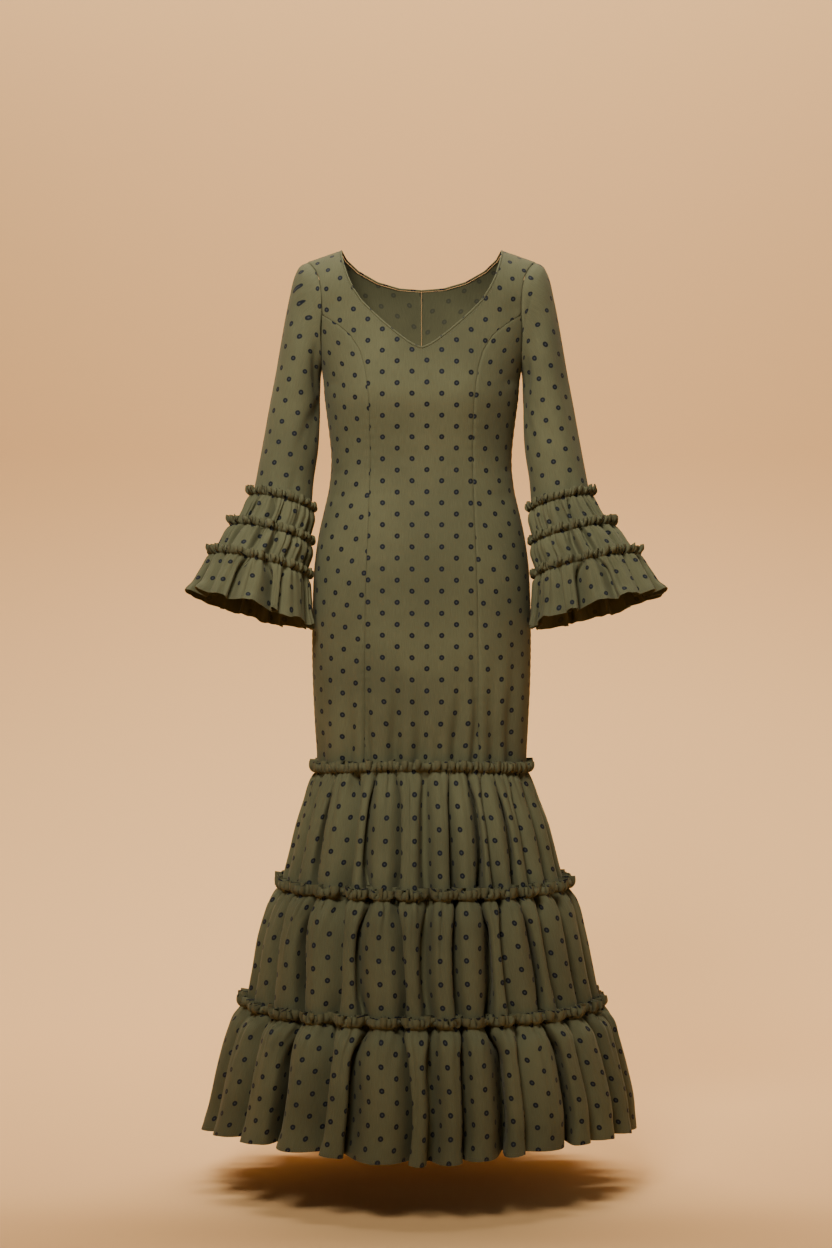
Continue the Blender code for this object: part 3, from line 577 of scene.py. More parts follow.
def shell(name, grids, thickness, materials):
    """A piece of cloth: the outer face, the same face one thickness further in, and rims between them.

    Each grid has its points and their places on the flat cloth. Rows run upward and columns
    counter-clockwise from above.
    """
    outer, quads, spots = weld(grids)
    count = len(outer)
    inner = outer - way_out(outer, quads) * thickness
    ahead = np.roll(quads, -1, axis=1)
    keys = (quads * count + ahead).reshape(-1)
    twins = (ahead * count + quads).reshape(-1)
    open_side = ~np.isin(keys, twins)
    starts = quads.reshape(-1)[open_side]
    ends = ahead.reshape(-1)[open_side]
    start_spots = spots.reshape(-1, 2)[open_side]
    end_spots = np.roll(spots, -1, axis=1).reshape(-1, 2)[open_side]
    rims = np.stack((ends, starts, starts + count, ends + count), axis=-1)
    rim_spots = np.stack((end_spots, start_spots, start_spots, end_spots), axis=1)
    faces = np.concatenate((quads, quads[:, ::-1] + count, rims))
    flat = np.concatenate((spots, spots[:, ::-1], rim_spots))
    mesh = bpy.data.meshes.new(name)
    mesh.vertices.add(2 * count)
    mesh.vertices.foreach_set("co", np.concatenate((outer, inner)).reshape(-1).astype(np.float32))
    mesh.loops.add(faces.size)
    mesh.loops.foreach_set("vertex_index", faces.reshape(-1).astype(np.int32))
    mesh.polygons.add(len(faces))
    mesh.polygons.foreach_set("loop_start", np.arange(0, faces.size, 4, dtype=np.int32))
    mesh.update(calc_edges=True)
    mesh.uv_layers.new(name="cloth").data.foreach_set("uv", flat.reshape(-1).astype(np.float32))
    for material in materials:
        mesh.materials.append(material)
    kinds = np.zeros(len(faces), dtype=np.int32)
    kinds[len(quads) : 2 * len(quads)] = 1
    mesh.polygons.foreach_set("material_index", kinds)
    mesh.shade_smooth()
    edge_ends = np.zeros(2 * len(mesh.edges), dtype=np.int32)
    mesh.edges.foreach_get("vertices", edge_ends)
    edge_ends = edge_ends.reshape(-1, 2)
    within = edge_ends % count
    edge_keys = within[:, 0].astype(np.int64) * count + within[:, 1]
    edge_twins = within[:, 1].astype(np.int64) * count + within[:, 0]
    rim_keys = keys[open_side]
    sharp = np.isin(edge_keys, rim_keys) | np.isin(edge_twins, rim_keys)
    mesh.attributes.new("sharp_edge", "BOOLEAN", "EDGE").data.foreach_set("value", sharp)
    return placed(name, mesh)


# The fitted body's panels.
NEAR_SEAM = np.array((0.0, 0.0007, 0.0016, 0.0028, 0.0046))
NECK_SETBACK = BINDING_WIDTH + SEAM_GAP
FRONT_EDGE = edge_beside(FRONT_NECK, NECK_SETBACK, 0.0036)
BACK_EDGE = edge_beside(BACK_NECK, NECK_SETBACK, NECK_SETBACK)
LOWER_ARMHOLE = share_at(ARMHOLE, PRINCESS["height"][-1])
BACK_NECK_ARMHOLE = 0.45
LEVEL_ROWS = 138
FAN_ROWS = 24
SHOULDER_ROWS = 50
SHOULDER_CROWDING = 1.5
BACK_LEVEL_ROWS = 150
BACK_FAN_ROWS = 34
CENTRE_WIDTH = 0.095
SIDE_WIDTH = 0.10
BACK_WIDTH = 0.24


def to_seam(count, width):
    """Shares from 0 to 1 that lie close together near 1, for a width of about this length."""
    near = NEAR_SEAM / width
    return np.concatenate((np.linspace(0.0, 1 - near[-1], count)[:-1], 1 - near[::-1]))


def seam_to_seam(count, width):
    near = NEAR_SEAM / width
    middle = np.linspace(near[-1], 1 - near[-1], count)[1:-1]
    return np.concatenate((near, middle, 1 - near[::-1]))


def row_lengths(points):
    """Distances along each row from its first point and from its last."""
    steps = np.linalg.norm(np.diff(points, axis=1), axis=-1)
    start = np.pad(np.cumsum(steps, axis=1), ((0, 0), (1, 0)))
    return start, start[:, -1:] - start


def seamed(points, normals, seams):
    """Presses a fine groove and slight puckers along a panel's sewn sides: left, right or top."""
    left, right = row_lengths(points)
    _, above = row_lengths(points.transpose(1, 0, 2))
    distances = {"left": left, "right": right, "top": above.T}
    shift = np.zeros(points.shape[:2])
    for side in seams:
        distance = distances[side]
        at = points[..., 0] if side == "top" else points[..., 2]
        waves = np.sin(2 * math.pi * at / PUCKER_PITCH + 2.2 * np.sin(31 * at))
        shift -= SEAM_GROOVE * hump(distance, SEAM_GROOVE_WIDTH)
        shift += PUCKER * waves * (0.6 + 0.4 * np.sin(17 * at)) * hump(distance - 0.003, PUCKER_WIDTH)
    moved = points + normals * shift[..., None]
    if "left" in seams:
        moved[:, 0] += unit(moved[:, 1] - moved[:, 0]) * HALF_GAP
    if "right" in seams:
        moved[:, -1] += unit(moved[:, -2] - moved[:, -1]) * HALF_GAP
    return moved


def between(inner, outer, shares):
    """Angles and heights from inner places to outer places, one row for each pair."""
    angle = inner[0][:, None] + (outer[0] - inner[0])[:, None] * shares
    height = inner[1][:, None] + (outer[1] - inner[1])[:, None] * shares
    return angle, height


def tucked(angle, height):
    """Lets the lower edge dip at the sides, as the first skirt seam does."""
    low = np.clip((BODY_TUCK_LEVEL - height) / (BODY_TUCK_LEVEL - BODY_HEM), 0.0, 1.0)
    return height - SIDE_DROP * low * np.sin(angle) ** 2


def under_shoulder(angle, height):
    return np.minimum(height, shoulder_height(body_form(angle, height)[..., 0]))


def seam_places(line, share, front=True):
    x, height = along(line, share)
    return body_angle(x, height, front), height


def princess_rows():
    """Each row's share of the princess seam, and how far up the fan above the level rows it is."""
    fan_start = share_at(PRINCESS, LEVEL_TOP)
    fan = np.arange(1, FAN_ROWS + 1) / FAN_ROWS
    heights = np.linspace(BODY_HEM, LEVEL_TOP, LEVEL_ROWS + 1)
    shares = np.concatenate((share_at(PRINCESS, heights), fan_start + (1 - fan_start) * fan))
    heights = np.concatenate((heights, np.full(FAN_ROWS, LEVEL_TOP)))
    return heights, shares, np.concatenate((np.zeros(LEVEL_ROWS + 1), fan))


def front_centre_places():
    """The left half of the centre front, from the centre or the neck out to the princess seam or armhole."""
    heights, shares, fan = princess_rows()
    centre = heights + (FRONT_EDGE["height"][0] - LEVEL_TOP) * fan
    columns = to_seam(24, CENTRE_WIDTH)
    lower = between((np.zeros_like(centre), centre), seam_places(PRINCESS, shares), columns)
    rise = 1 - (1 - np.arange(1, SHOULDER_ROWS + 1) / SHOULDER_ROWS) ** SHOULDER_CROWDING
    outer = seam_places(ARMHOLE, LOWER_ARMHOLE + (1 - LOWER_ARMHOLE) * rise)
    upper = between(seam_places(FRONT_EDGE, rise), outer, columns)
    upper = upper[0], under_shoulder(*upper)
    return np.concatenate((lower[0], upper[0])), np.concatenate((tucked(*lower), upper[1]))


def front_side_places():
    heights, shares, fan = princess_rows()
    side = heights + (ARMPIT_HEIGHT - LEVEL_TOP) * fan
    columns = seam_to_seam(19, SIDE_WIDTH)
    outer = np.full_like(side, math.pi / 2), side
    angle, height = between(seam_places(PRINCESS, shares), outer, columns)
    top = seam_places(ARMHOLE, LOWER_ARMHOLE * (1 - columns))
    rise = (fan**2)[:, None]
    angle, height = angle + (top[0] - angle[-1]) * rise, height + (top[1] - height[-1]) * rise
    return angle, tucked(angle, height)


def back_places():
    """The left back, from the side seam to the centre back."""
    neck = BACK_EDGE["height"][0]
    level = np.linspace(BODY_HEM, ARMPIT_HEIGHT, BACK_LEVEL_ROWS + 1)
    fan = np.arange(1, BACK_FAN_ROWS + 1) / BACK_FAN_ROWS
    rise = 1 - (1 - np.arange(1, SHOULDER_ROWS + 1) / SHOULDER_ROWS) ** SHOULDER_CROWDING
    side = seam_places(ARMHOLE, BACK_NECK_ARMHOLE * fan, False)
    upper_side = seam_places(ARMHOLE, BACK_NECK_ARMHOLE + (1 - BACK_NECK_ARMHOLE) * rise, False)
    upper_centre = seam_places(BACK_EDGE, rise, False)
    side_angle = np.concatenate((np.full_like(level, math.pi / 2), side[0], upper_side[0]))
    side_height = np.concatenate((level, side[1], upper_side[1]))
    centre_angle = np.concatenate((np.full(len(level) + len(fan), math.pi), upper_centre[0]))
    centre_height = np.concatenate((level, ARMPIT_HEIGHT + (neck - ARMPIT_HEIGHT) * fan, upper_centre[1]))
    columns = seam_to_seam(46, BACK_WIDTH)
    angle, height = between((side_angle, side_height), (centre_angle, centre_height), columns)
    return angle, under_shoulder(angle, tucked(angle, height))


def panel_grid(lengths, places, side, seams, reference, lay, seam_front=None):
    """One grid of a body panel. Side is 1 for the left half and -1 for its mirror image on the right."""
    angle, height = places
    if side < 0:
        angle, height = -angle[:, ::-1], height[:, ::-1]
        seams = [{"left": "right", "right": "left"}.get(seam, seam) for seam in seams]
    points = seamed(body_cloth(angle, height), body_out(angle, height), seams)
    if seam_front is not None:
        points[-1, :, 1] = -HALF_GAP if seam_front else HALF_GAP
    return points, turned(lengths.at(angle, height, side * reference), *lay)


# How the dots of each body panel lie: the turn in degrees, then the shift across and along the cloth.
LAY = {
    "front_centre": (0.0, (0.0032, 0.0102)),
    "front_side_left": (-4.0, (0.004, 0.009)),
    "front_side_right": (4.0, (-0.006, 0.013)),
    "back_left": (0.0, (0.006, 0.004)),
    "back_right": (0.0, (-0.006, 0.012)),
    "sleeve_left": (-2.0, (0.003, 0.007)),
    "sleeve_right": (2.0, (-0.002, 0.012)),
}
SIDE_REFERENCE = 0.98
BACK_REFERENCE = 2.4


def body_panels(finish):
    lengths = BodyLengths()
    made = {}
    centre = front_centre_places()
    grids = [
        panel_grid(lengths, centre, side, ["right"], 0.0, LAY["front_centre"], True) for side in (1, -1)
    ]
    made["front_centre"] = shell("cloth_front_centre", grids, SHELL, finish)
    for name, side in (("left", 1), ("right", -1)):
        key = f"front_side_{name}"
        seams = ["left", "right", "top"]
        grid = panel_grid(lengths, front_side_places(), side, seams, SIDE_REFERENCE, LAY[key])
        made[key] = shell(f"cloth_{key}", [grid], SHELL, finish)
        key = f"back_{name}"
        grid = panel_grid(lengths, back_places(), side, ["left", "right"], BACK_REFERENCE, LAY[key], False)
        made[key] = shell(f"cloth_{key}", [grid], SHELL, finish)
    return made


FRONT_BINDING_STEPS = 120
BACK_BINDING_STEPS = 70
BINDING_PROFILE = (
    (1.0, -1.0),
    (0.45, -1.15),
    (0.10, -0.85),
    (0.0, -0.30),
    (0.0, 0.35),
    (0.12, 0.85),
    (0.45, 1.12),
    (0.80, 1.0),
    (1.0, 0.55),
)


def neck_frames():
    """The left half of the neckline, from the front to the back: its points and the ways out of the cloth."""
    front = seam_places(FRONT_NECK, np.linspace(0, 1, FRONT_BINDING_STEPS + 1))
    back = seam_places(BACK_NECK, np.linspace(1, 0, BACK_BINDING_STEPS + 1)[1:], False)
    angle = np.concatenate((front[0], back[0]))
    height = np.concatenate((front[1], back[1]))
    points = body_form(angle, height)
    points[FRONT_BINDING_STEPS, 1] = 0.0
    normals = body_out(angle, height)
    normals[FRONT_BINDING_STEPS] = unit(np.array((SHOULDER_SLOPE, 0.0, 1.0)))
    return points, normals


def neck_binding(finish):
    points, normals = (both_halves(line) for line in neck_frames())
    for _ in range(2):
        normals = unit(np.roll(normals, 1, axis=0) + normals * 2 + np.roll(normals, -1, axis=0))
    tangents = unit(np.roll(points, -1, axis=0) - np.roll(points, 1, axis=0))
    into = unit(np.cross(normals, tangents))
    middle = -SHELL / 2
    half = SHELL / 2 + BINDING_PROUD
    rings = [
        points - into * (BINDING_WIDTH * across) + normals * (middle + half * out)
        for across, out in BINDING_PROFILE
    ]
    rings.append(rings[0])
    rings = np.array(rings)[:, list(range(len(points))) + [0]]
    length = np.pad(np.cumsum(np.linalg.norm(np.diff(rings[3], axis=0), axis=-1)), (1, 0))
    across = np.linspace(0, 2 * BINDING_WIDTH, len(rings))
    places = np.stack(np.broadcast_arrays(length[None, :], across[:, None]), axis=-1)
    return shell_closed("cloth_neck_binding", rings, places, finish)


def shell_closed(name, grid, places, finish):
    """A strip that is a closed tube in itself, so it needs no inner face."""
    points, quads, spots = weld([(grid, places)])
    mesh = bpy.data.meshes.new(name)
    mesh.from_pydata(points.tolist(), [], quads.tolist())
    mesh.uv_layers.new(name="cloth").data.foreach_set("uv", spots.reshape(-1).astype(np.float32))
    mesh.materials.append(finish[0])
    mesh.shade_smooth()
    return placed(name, mesh)


# The sleeves.
SLEEVE_COLUMNS = 84
SLEEVE_ROWS = 96
SLEEVE_FULLNESS = 0.0035
SLEEVE_END = 10.0


def sleeve_ring(ring, turn):
    read = smooth_row(SLEEVE, ring, "ring")
    outer = np.array((read["outer_x"], 0.0, read["outer_height"]))
    inner = np.array((read["inner_x"], 0.0, read["inner_height"]))
    tilt = math.radians(read["tilt"])
    middle = (outer + inner) / 2 + np.array((0.0, read["middle_y"], 0.0))
    forward = np.array((0.0, -math.cos(tilt), math.sin(tilt))) * read["half_depth"]
    bow = np.array((-read["bow"], 0.0, 0.0))
    cos, sin = np.cos(turn)[:, None], np.sin(turn)[:, None]
    return middle - cos * (outer - inner) / 2 + forward * sin + bow * sin**2


def armhole_ring(turn):
    """The left armhole at these turns, from the armpit up its front to the shoulder and down its back."""
    share = (1 - np.cos(turn)) / 2
    x, height = along(ARMHOLE, share)
    front = np.sin(turn) >= 0
    angle = body_angle(x, height)
    ring = body_form(np.where(front, angle, math.pi - angle), height)
    ring[:, 1] = np.where(share < 1e-6, 0.0, np.where(share > 1 - 1e-6, 0.0, ring[:, 1]))
    return ring + np.array((SLEEVE_ARMHOLE_GAP, 0.0, 0.0))


def sleeve_grid(side):
    turn = np.linspace(0, 2 * math.pi, SLEEVE_COLUMNS + 1)
    levels = np.concatenate((np.linspace(0, 1, 12)[:-1] ** 1.3, np.linspace(1, SLEEVE_END, SLEEVE_ROWS)))
    rows = []
    for level in levels:
        if level < 1:
            near = armhole_ring(turn)
            ring = near + (sleeve_ring(1.0, turn) - near) * level
        else:
            ring = sleeve_ring(level, turn)
        rows.append(ring)
    points = np.array(rows)
    out = unit(np.cross(np.gradient(points, axis=0), np.gradient(points, axis=1)))
    out[:, [0, -1]] = unit(out[:, 1] + out[:, -2])[:, None]
    head = hump((levels - 1.0) / 0.9, 1.0)[:, None] * (1 - np.cos(turn)) / 2 * (levels > 0.01)[:, None]
    shift = SLEEVE_FULLNESS * head
    degrees = np.degrees(turn)
    for i in range(len(SLEEVE_CREASES["turn"])):
        row = row_of(SLEEVE_CREASES, i)
        down = levels[:, None] - row["ring"]
        middle = row["turn"] + row["slant"] * down + side * 9 * math.sin(2.1 * i)
        away = (degrees[None, :] - middle + 180) % 360 - 180
        size = row["depth"] * (1 + 0.3 * side * math.sin(1.3 * i))
        shift = shift - size * hump(away, row["width"]) * hump(down, row["length"] * 0.75)
    settle = ease(levels / 0.5)[:, None]
    shift = shift * settle - SEAM_GROOVE * hump(levels / 0.16, 1.0)[:, None]
    shift = shift - SEAM_GROOVE * (hump(degrees, 1.4) + hump(degrees - 360, 1.4))[None, :] * settle
    shift[:, -1] = shift[:, 0]
    points = points + out * shift[..., None]
    return points, tube_places(points, SLEEVE_COLUMNS // 4)


def tube_places(points, front):
    """Where a tube's points lie on its flat cloth: square to its middle line, measured from one column."""
    middle = points[:, :-1].mean(axis=1)
    course = unit(np.gradient(middle, axis=0))
    for _ in range(6):
        course = unit((np.roll(course, 1, axis=0) + 2 * course + np.roll(course, -1, axis=0))[1:-1])
        course = np.concatenate((course[:1], course, course[-1:]))
    length = np.concatenate(([0.0], np.cumsum(np.linalg.norm(np.diff(middle, axis=0), axis=1))))
    down = length[:, None] + np.einsum("ijk,ik->ij", points - middle[:, None], course)
    step = np.linalg.norm(np.diff(points, axis=1), axis=-1)
    level_step = np.sqrt(np.maximum(step**2 - np.diff(down, axis=1) ** 2, 0.0))
    round_it = np.concatenate((np.zeros((len(points), 1)), np.cumsum(level_step, axis=1)), axis=1)
    return np.stack((round_it - round_it[:, front : front + 1], -down), axis=-1)


def upward(points, places, side):
    """A tube's rows from below up, and its columns counter-clockwise from above; side -1 mirrors it."""
    points, places = points[::-1], places[::-1]
    if side < 0:
        points = (points * MIRROR)[:, ::-1]
        places = (places * MIRROR[:2])[:, ::-1]
    return points, places


def sleeves(finish):
    made = {}
    for name, side in (("left", 1), ("right", -1)):
        points, places = sleeve_grid(side)
        points, places = upward(points, places, side)
        key = f"sleeve_{name}"
        made[key] = shell(f"cloth_{key}", [(points, turned(places, *LAY[key]))], SHELL, finish)
    return made


# What the gathered tiers of the skirt and of the cuffs share.
def ring_out(points):
    """The way out of a closed ring, level, at each of its points. The ring runs counter-clockwise."""
    run = np.roll(points, -1, axis=0) - np.roll(points, 1, axis=0)
    return unit(np.stack((run[:, 1], -run[:, 0], np.zeros(len(run))), axis=1))


CRIMP_LOOPING = 0.32
SEAM_CRIMP_LENGTH = 0.003


def crimp(phase, up):
    """A gathered wave: how far out it stands, and how far it leans along the ring to round its loops."""
    looping = CRIMP_LOOPING * min(1.0, 1.6 * up)
    return np.cos(phase), looping * np.sin(2 * phase)


def curl(up):
    """How far out a heading stands at this share of its height: out quickly, then back in at its top."""
    return np.sin(math.pi * 0.76 * up**0.7)


def uneven_phase(turn, count, seed):
    """The phase of about this many crimps round a ring, crowded here and sparse there."""
    slow = 1.3 * np.sin(5 * turn + seed) + 0.9 * np.sin(11 * turn + 2.1 * seed)
    drift = slow + 0.7 * np.sin(23 * turn + seed)
    return count * turn + drift + 0.55 * np.sin(37 * turn + 1.7 * seed)


def gathers(distance, turn, own, seed):
    """How far a tier's fine gathers stand out, this far below its stitch line. Each has its own length."""
    phase = uneven_phase(turn, own["crimps"], seed)
    length = own["gather_length"]
    own_length = length * (1.0 + 0.55 * np.sin(0.37 * phase + seed) + 0.25 * np.sin(0.171 * phase))
    start = ease(distance / 0.004)
    wave = np.cos(phase) * (0.75 + 0.35 * np.sin(0.43 * phase + 2 * seed))
    coarse = np.cos(phase / 2 + 0.8 * np.sin(7 * turn)) * 0.7
    swell = start * np.exp(-distance / own_length)
    late = distance / length * np.exp(-distance / (1.5 * length))
    return own["gather_depth"] * (wave * swell + coarse * late)


def fold_reader(angle, valleys):
    """Which fold each angle is in, and how far across it. Valleys are the folds' angles in order."""
    first = valleys[0]
    wrapped = first + (angle - first) % 360
    known = np.concatenate((valleys, [first + 360]))
    number = np.interp(wrapped, known, np.arange(len(known)))
    fold = np.minimum(number.astype(int), len(valleys) - 1)
    return fold, number - fold


def pressed_in(part, fold, depths, narrowness):
    """How deep the folds are pressed in: broad round ridges, and narrow valleys with steep sides."""
    nearest = np.where(part < 0.5, fold, (fold + 1) % len(depths))
    half_width = VALLEY_WIDTH * (1 + 0.35 * np.sin(2.2 * nearest + 1.0)) / narrowness
    steep = 1 / (1 + (np.minimum(part, 1 - part) / half_width) ** 4)
    rounding = np.abs(np.cos(math.pi * part)) ** 2.4
    return (0.84 * steep + 0.16 * rounding) * depths[nearest], nearest


def tier_places(points, distances, degrees, row_valleys, reference):
    """Where a gathered tier's points lie on its flat strip. Its ridges keep true lengths at every height."""
    lengths = row_lengths(points)[0]
    marks = []
    for valleys in row_valleys:
        closed = np.concatenate((valleys, [valleys[0] + 360]))
        both = np.stack((closed[:-1], (closed[:-1] + closed[1:]) / 2), axis=1).ravel()
        marks.append(np.concatenate((both - 360, both, both + 360)))
    marks = np.array(marks)
    at_marks = np.array([unrolled(mark, degrees, length) for mark, length in zip(marks, lengths)])
    round_it = np.empty_like(lengths)
    for i, (mark, known) in enumerate(zip(marks, at_marks)):
        place = np.clip(np.searchsorted(mark, degrees, side="right") - 1, 0, len(mark) - 2)
        is_valley = place % 2 == 0
        own = np.maximum(known[place + 1] - known[place], 1e-6)
        flat = at_marks[reference][place + 1] - at_marks[reference][place]
        ridge = np.where(is_valley, place + 1, place)
        from_ridge = np.abs(lengths[i] - known[ridge])
        share = np.clip(from_ridge / own, 0.0, 1.0)
        from_ridge = from_ridge + (flat - own) * share**4
        round_it[i] = at_marks[reference][ridge] + np.where(is_valley, -from_ridge, from_ridge)
    return np.stack(np.broadcast_arrays(round_it, -np.array(distances)[:, None]), axis=-1)


def unrolled(at, degrees, lengths):
    """The length along a closed row at these angles, which may lie some turns away from the row's own."""
    turns = np.floor((at - degrees[0]) / 360)
    return np.interp(at - 360 * turns, degrees, lengths) + turns * lengths[-1]


# The rows, counted from the hem, whose measured lengths are the flat strips' own.
SKIRT_FLAT_ROW = -5
CUFF_FLAT_ROW = -4


def closed_tier(rows, distances, turn, valleys, reference):
    """A tier's points with its first column again at the end, and their places on the flat strip."""
    points = np.array(rows)
    points = np.concatenate((points, points[:, :1]), axis=1)
    degrees = np.degrees(np.append(turn, turn[0] + 2 * math.pi))
    return points, tier_places(points, distances, degrees, valleys, reference)


def skirt_folds():
    """All valleys round the skirt: their angles and depths in each tier. Hidden ones are like the shown."""
    rows = list(zip(*FRONT_FOLDS.values()))
    first, last = rows[0], rows[-1]
    for i in range(HIDDEN_FOLDS):
        angles = []
        for tier in range(3):
            span = 360 + first[tier] - last[tier]
            uneven = 0.22 * math.sin(2.3 * i + 0.9 * tier)
            angles.append(last[tier] + span * (i + 1 + uneven) / (HIDDEN_FOLDS + 1))
        depths = [0.9 + 0.28 * math.sin(1.7 * i + 1.3 * tier) for tier in range(3)]
        rows.append((*angles, *depths))
    rows = np.array(rows)
    return rows[:, :3], rows[:, 3:]


FOLD_ANGLES, FOLD_DEPTHS = skirt_folds()
FOLD_LEANS = 0.60 * np.sin(2.6 * np.arange(len(FOLD_ANGLES)) + 0.4)


def across_tiers(height, values):
    """Values that each tier has at its own level, read at any height."""
    at = np.interp(-height, [-level for level in TIER_LEVELS], range(3))
    tier = min(int(at), 1)
    return values[:, tier] + (values[:, tier + 1] - values[:, tier]) * (at - tier)


def level_change(turn, height):
    dip = np.interp(height, (SKIRT_SEAMS[1], SKIRT_SEAMS[0]), (0.0, SIDE_DROP))
    lift = np.interp(height, (HEM_HEIGHT, SKIRT_SEAMS[2]), (HEM_LIFT, 0.0))
    return lift * np.sin(2 * turn) ** 2 - dip * np.sin(turn) ** 2


def skirt_form(turn, height, distance, number):
    """One ring of the skirt with its folds pressed in. Distance is how far it lies below its stitch line."""
    read = smooth_row(SKIRT, height)
    power = 2 / read["squareness"]
    depth = np.where(np.cos(turn) > 0, read["front"], read["back"])
    x = read["half_width"] * signed_power(np.sin(turn), power)
    y = -depth * signed_power(np.cos(turn), power)
    out = unit(np.stack((x / read["half_width"] ** 2, y / depth**2, 0 * x), axis=-1))
    side = np.stack((-out[:, 1], out[:, 0], 0 * x), axis=-1)
    fold, part = fold_reader(np.degrees(turn), across_tiers(height, FOLD_ANGLES))
    below = SKIRT_SEAMS[number] - height
    narrowness = 0.85 + 0.25 * ease(below / 0.06)
    valley, nearest = pressed_in(part, fold, across_tiers(height, FOLD_DEPTHS), narrowness)
    early = TIERS["press"][number] * ease(distance / 0.012) * math.exp(-max(distance, 0.0) / 0.07)
    pressed = valley * (read["fold_depth"] * VALLEY_GAIN + early)
    upright = 0.7 * ease((below - 0.12) / 0.07) * (number < 2)
    lean = FOLD_LEANS[nearest] * ease(distance / 0.05) * (1 - upright)
    dent_middle = 0.5 + 0.17 * np.sin(1.9 * fold + number)
    dent = hump(part - dent_middle, 0.11 + 0.03 * np.sin(2.7 * fold))
    dent = dent * (0.55 + 0.45 * np.sin(3.1 * fold + 2 * number))
    reach = 0.06 + 0.05 * np.sin(1.3 * fold + number)
    dent = dent * ease(distance / 0.012) * (0.35 + 0.65 * np.exp(-((distance / reach) ** 2)))
    pressed = pressed + dent * (0.0030 + 0.09 * read["fold_depth"])
    points = np.stack((read["middle_x"] + x, y, height + level_change(turn, height)), axis=-1)
    return points - out * pressed[:, None] + side * (pressed * lean)[:, None]


SEAM_STEP = 0.0016
PUFF = 0.0050
CLOSE_UNDER = 0.0008


def tier_distances(length, heading):
    """Distances below the stitch line of a tier's rows, from the top of its heading down."""
    lower = np.linspace(UPPER_ROWS[-1], length, max(2, round((length - UPPER_ROWS[-1]) / ROW_STEP)))
    return np.concatenate((np.array(HEADING_ROWS) * heading, UPPER_ROWS, lower[1:]))


def skirt_grid(number):
    seam = SKIRT_SEAMS[number]
    last = number == 2
    end = HEM_HEIGHT if last else SKIRT_SEAMS[number + 1] - SEAM_TUCK
    own = row_of(TIERS, number)
    turn = np.linspace(-math.pi, math.pi, int(own["columns"]) + 1)[:-1]
    phase = uneven_phase(turn, own["crimps"], number + 1.0)
    pitch = 2 * math.pi / own["crimps"]
    rows = []
    valleys = []
    distances = tier_distances(seam - end, own["heading"])
    for distance in distances:
        height = seam - distance
        form_height = seam if distance < 0 else height
        if not last:
            form_height = max(form_height, end + SEAM_TUCK)
        up = max(-distance, 0.0) / own["heading"]
        wave, looping = crimp(phase, up)
        shifted = turn + looping * pitch
        valleys.append(across_tiers(form_height, FOLD_ANGLES))
        ring = skirt_form(shifted, form_height, max(distance, 0.0), number)
        out = ring_out(ring)
        strength = 0.75 + 0.35 * wander(9 * turn, number + 2.0)
        if distance < 0:
            flare = own["flare"] * curl(up) * (0.75 + 0.5 * wander(21 * turn, number + 5.0))
            offset = SEAM_STEP + 0.0012 + flare
            flop = np.cos(0.5 * phase + 1.3 * np.sin(9 * turn))
            offset = offset + own["crimp_depth"] * (strength * wave + 0.5 * flop) * (0.4 + 0.75 * up)
            rise = up**2 * (0.0022 * wander(31 * turn, number + 1.0) + 0.0020 * flop + 0.0012 * wave)
        else:
            fade = 1 - ease((distance - 0.10) / 0.06) * (0.0 if last else 1.0)
            puff = PUFF * ease(distance / 0.012) * math.exp(-distance / 0.05)
            close = SEAM_STEP * (1 - ease((distance - 0.02) / 0.03))
            offset = close + puff * (0.8 + 0.4 * wander(6 * turn, number + 3.0)) * fade
            offset = offset + gathers(distance, turn, own, number + 1.0)
            crimped = own["crimp_depth"] * 0.35 * strength * wave
            offset = offset + crimped * math.exp(-distance / SEAM_CRIMP_LENGTH)
            rise = 0.0 * turn
        if last:
            near_hem = ease((distance - (seam - end) + 0.03) / 0.03)
            offset = offset + near_hem * (0.0025 + 0.0020 * wander(7 * turn, 9.0))
            rise = rise + near_hem * 0.0022 * wander(8 * turn, 4.0)
        else:
            offset = offset - CLOSE_UNDER * ease((distance - (seam - end) + 0.02) / 0.015)
        ring = ring + out * offset[:, None]
        ring[:, 2] += height - form_height + rise
        rows.append(ring)
    return closed_tier(rows, distances, turn, valleys, SKIRT_FLAT_ROW)


def skirt_tiers(finish):
    made = {}
    for number in range(3):
        points, places = skirt_grid(number)
        key = f"skirt_tier_{number + 1}"
        made[key] = shell(f"cloth_{key}", [upward(points, places, 1)], FRILL_SHELL, finish)
    return made


# The cuffs.
CUFF_TIERS = table(
    "columns crimps crimp_depth gather_depth gather_length press",
    (
        (380, 40, 0.0030, 0.0024, 0.020, 0.0055),
        (440, 50, 0.0032, 0.0024, 0.022, 0.0065),
        (540, 60, 0.0034, 0.0022, 0.022, 0.0065),
    ),
)
CUFF_ROW_STEP = 0.0056
CUFF_VALLEY_GAIN = 1.6
CUFF_PUFF = 0.0030


def cuff_folds(side, number):
    places = []
    depths = []
    for i in range(CUFF_FOLDS):
        shift = 0.20 * math.sin(2.4 * i + 0.7 + 0.35 * number + (0.9 if side == "right" else 0.0))
        places.append(360 * (i + shift) / CUFF_FOLDS)
        depths.append(0.85 + 0.3 * math.sin(1.9 * i + 0.8 * number))
    return np.array(places), np.array(depths)


def clear_of_body(points):
    """Moves points that come too near the body out to its side."""
    x, y, height = points.T
    depth = np.where(y < 0, smooth(BODY, "front", height), smooth(BODY, "back", height))
    share = np.minimum(1.0, np.abs(y) / depth)
    width = smooth(BODY, "half_width", height) * (1 - share**SQUARENESS) ** (1 / SQUARENESS)
    return np.stack((np.maximum(x, width + BODY_CLEARANCE), y, height), axis=-1)


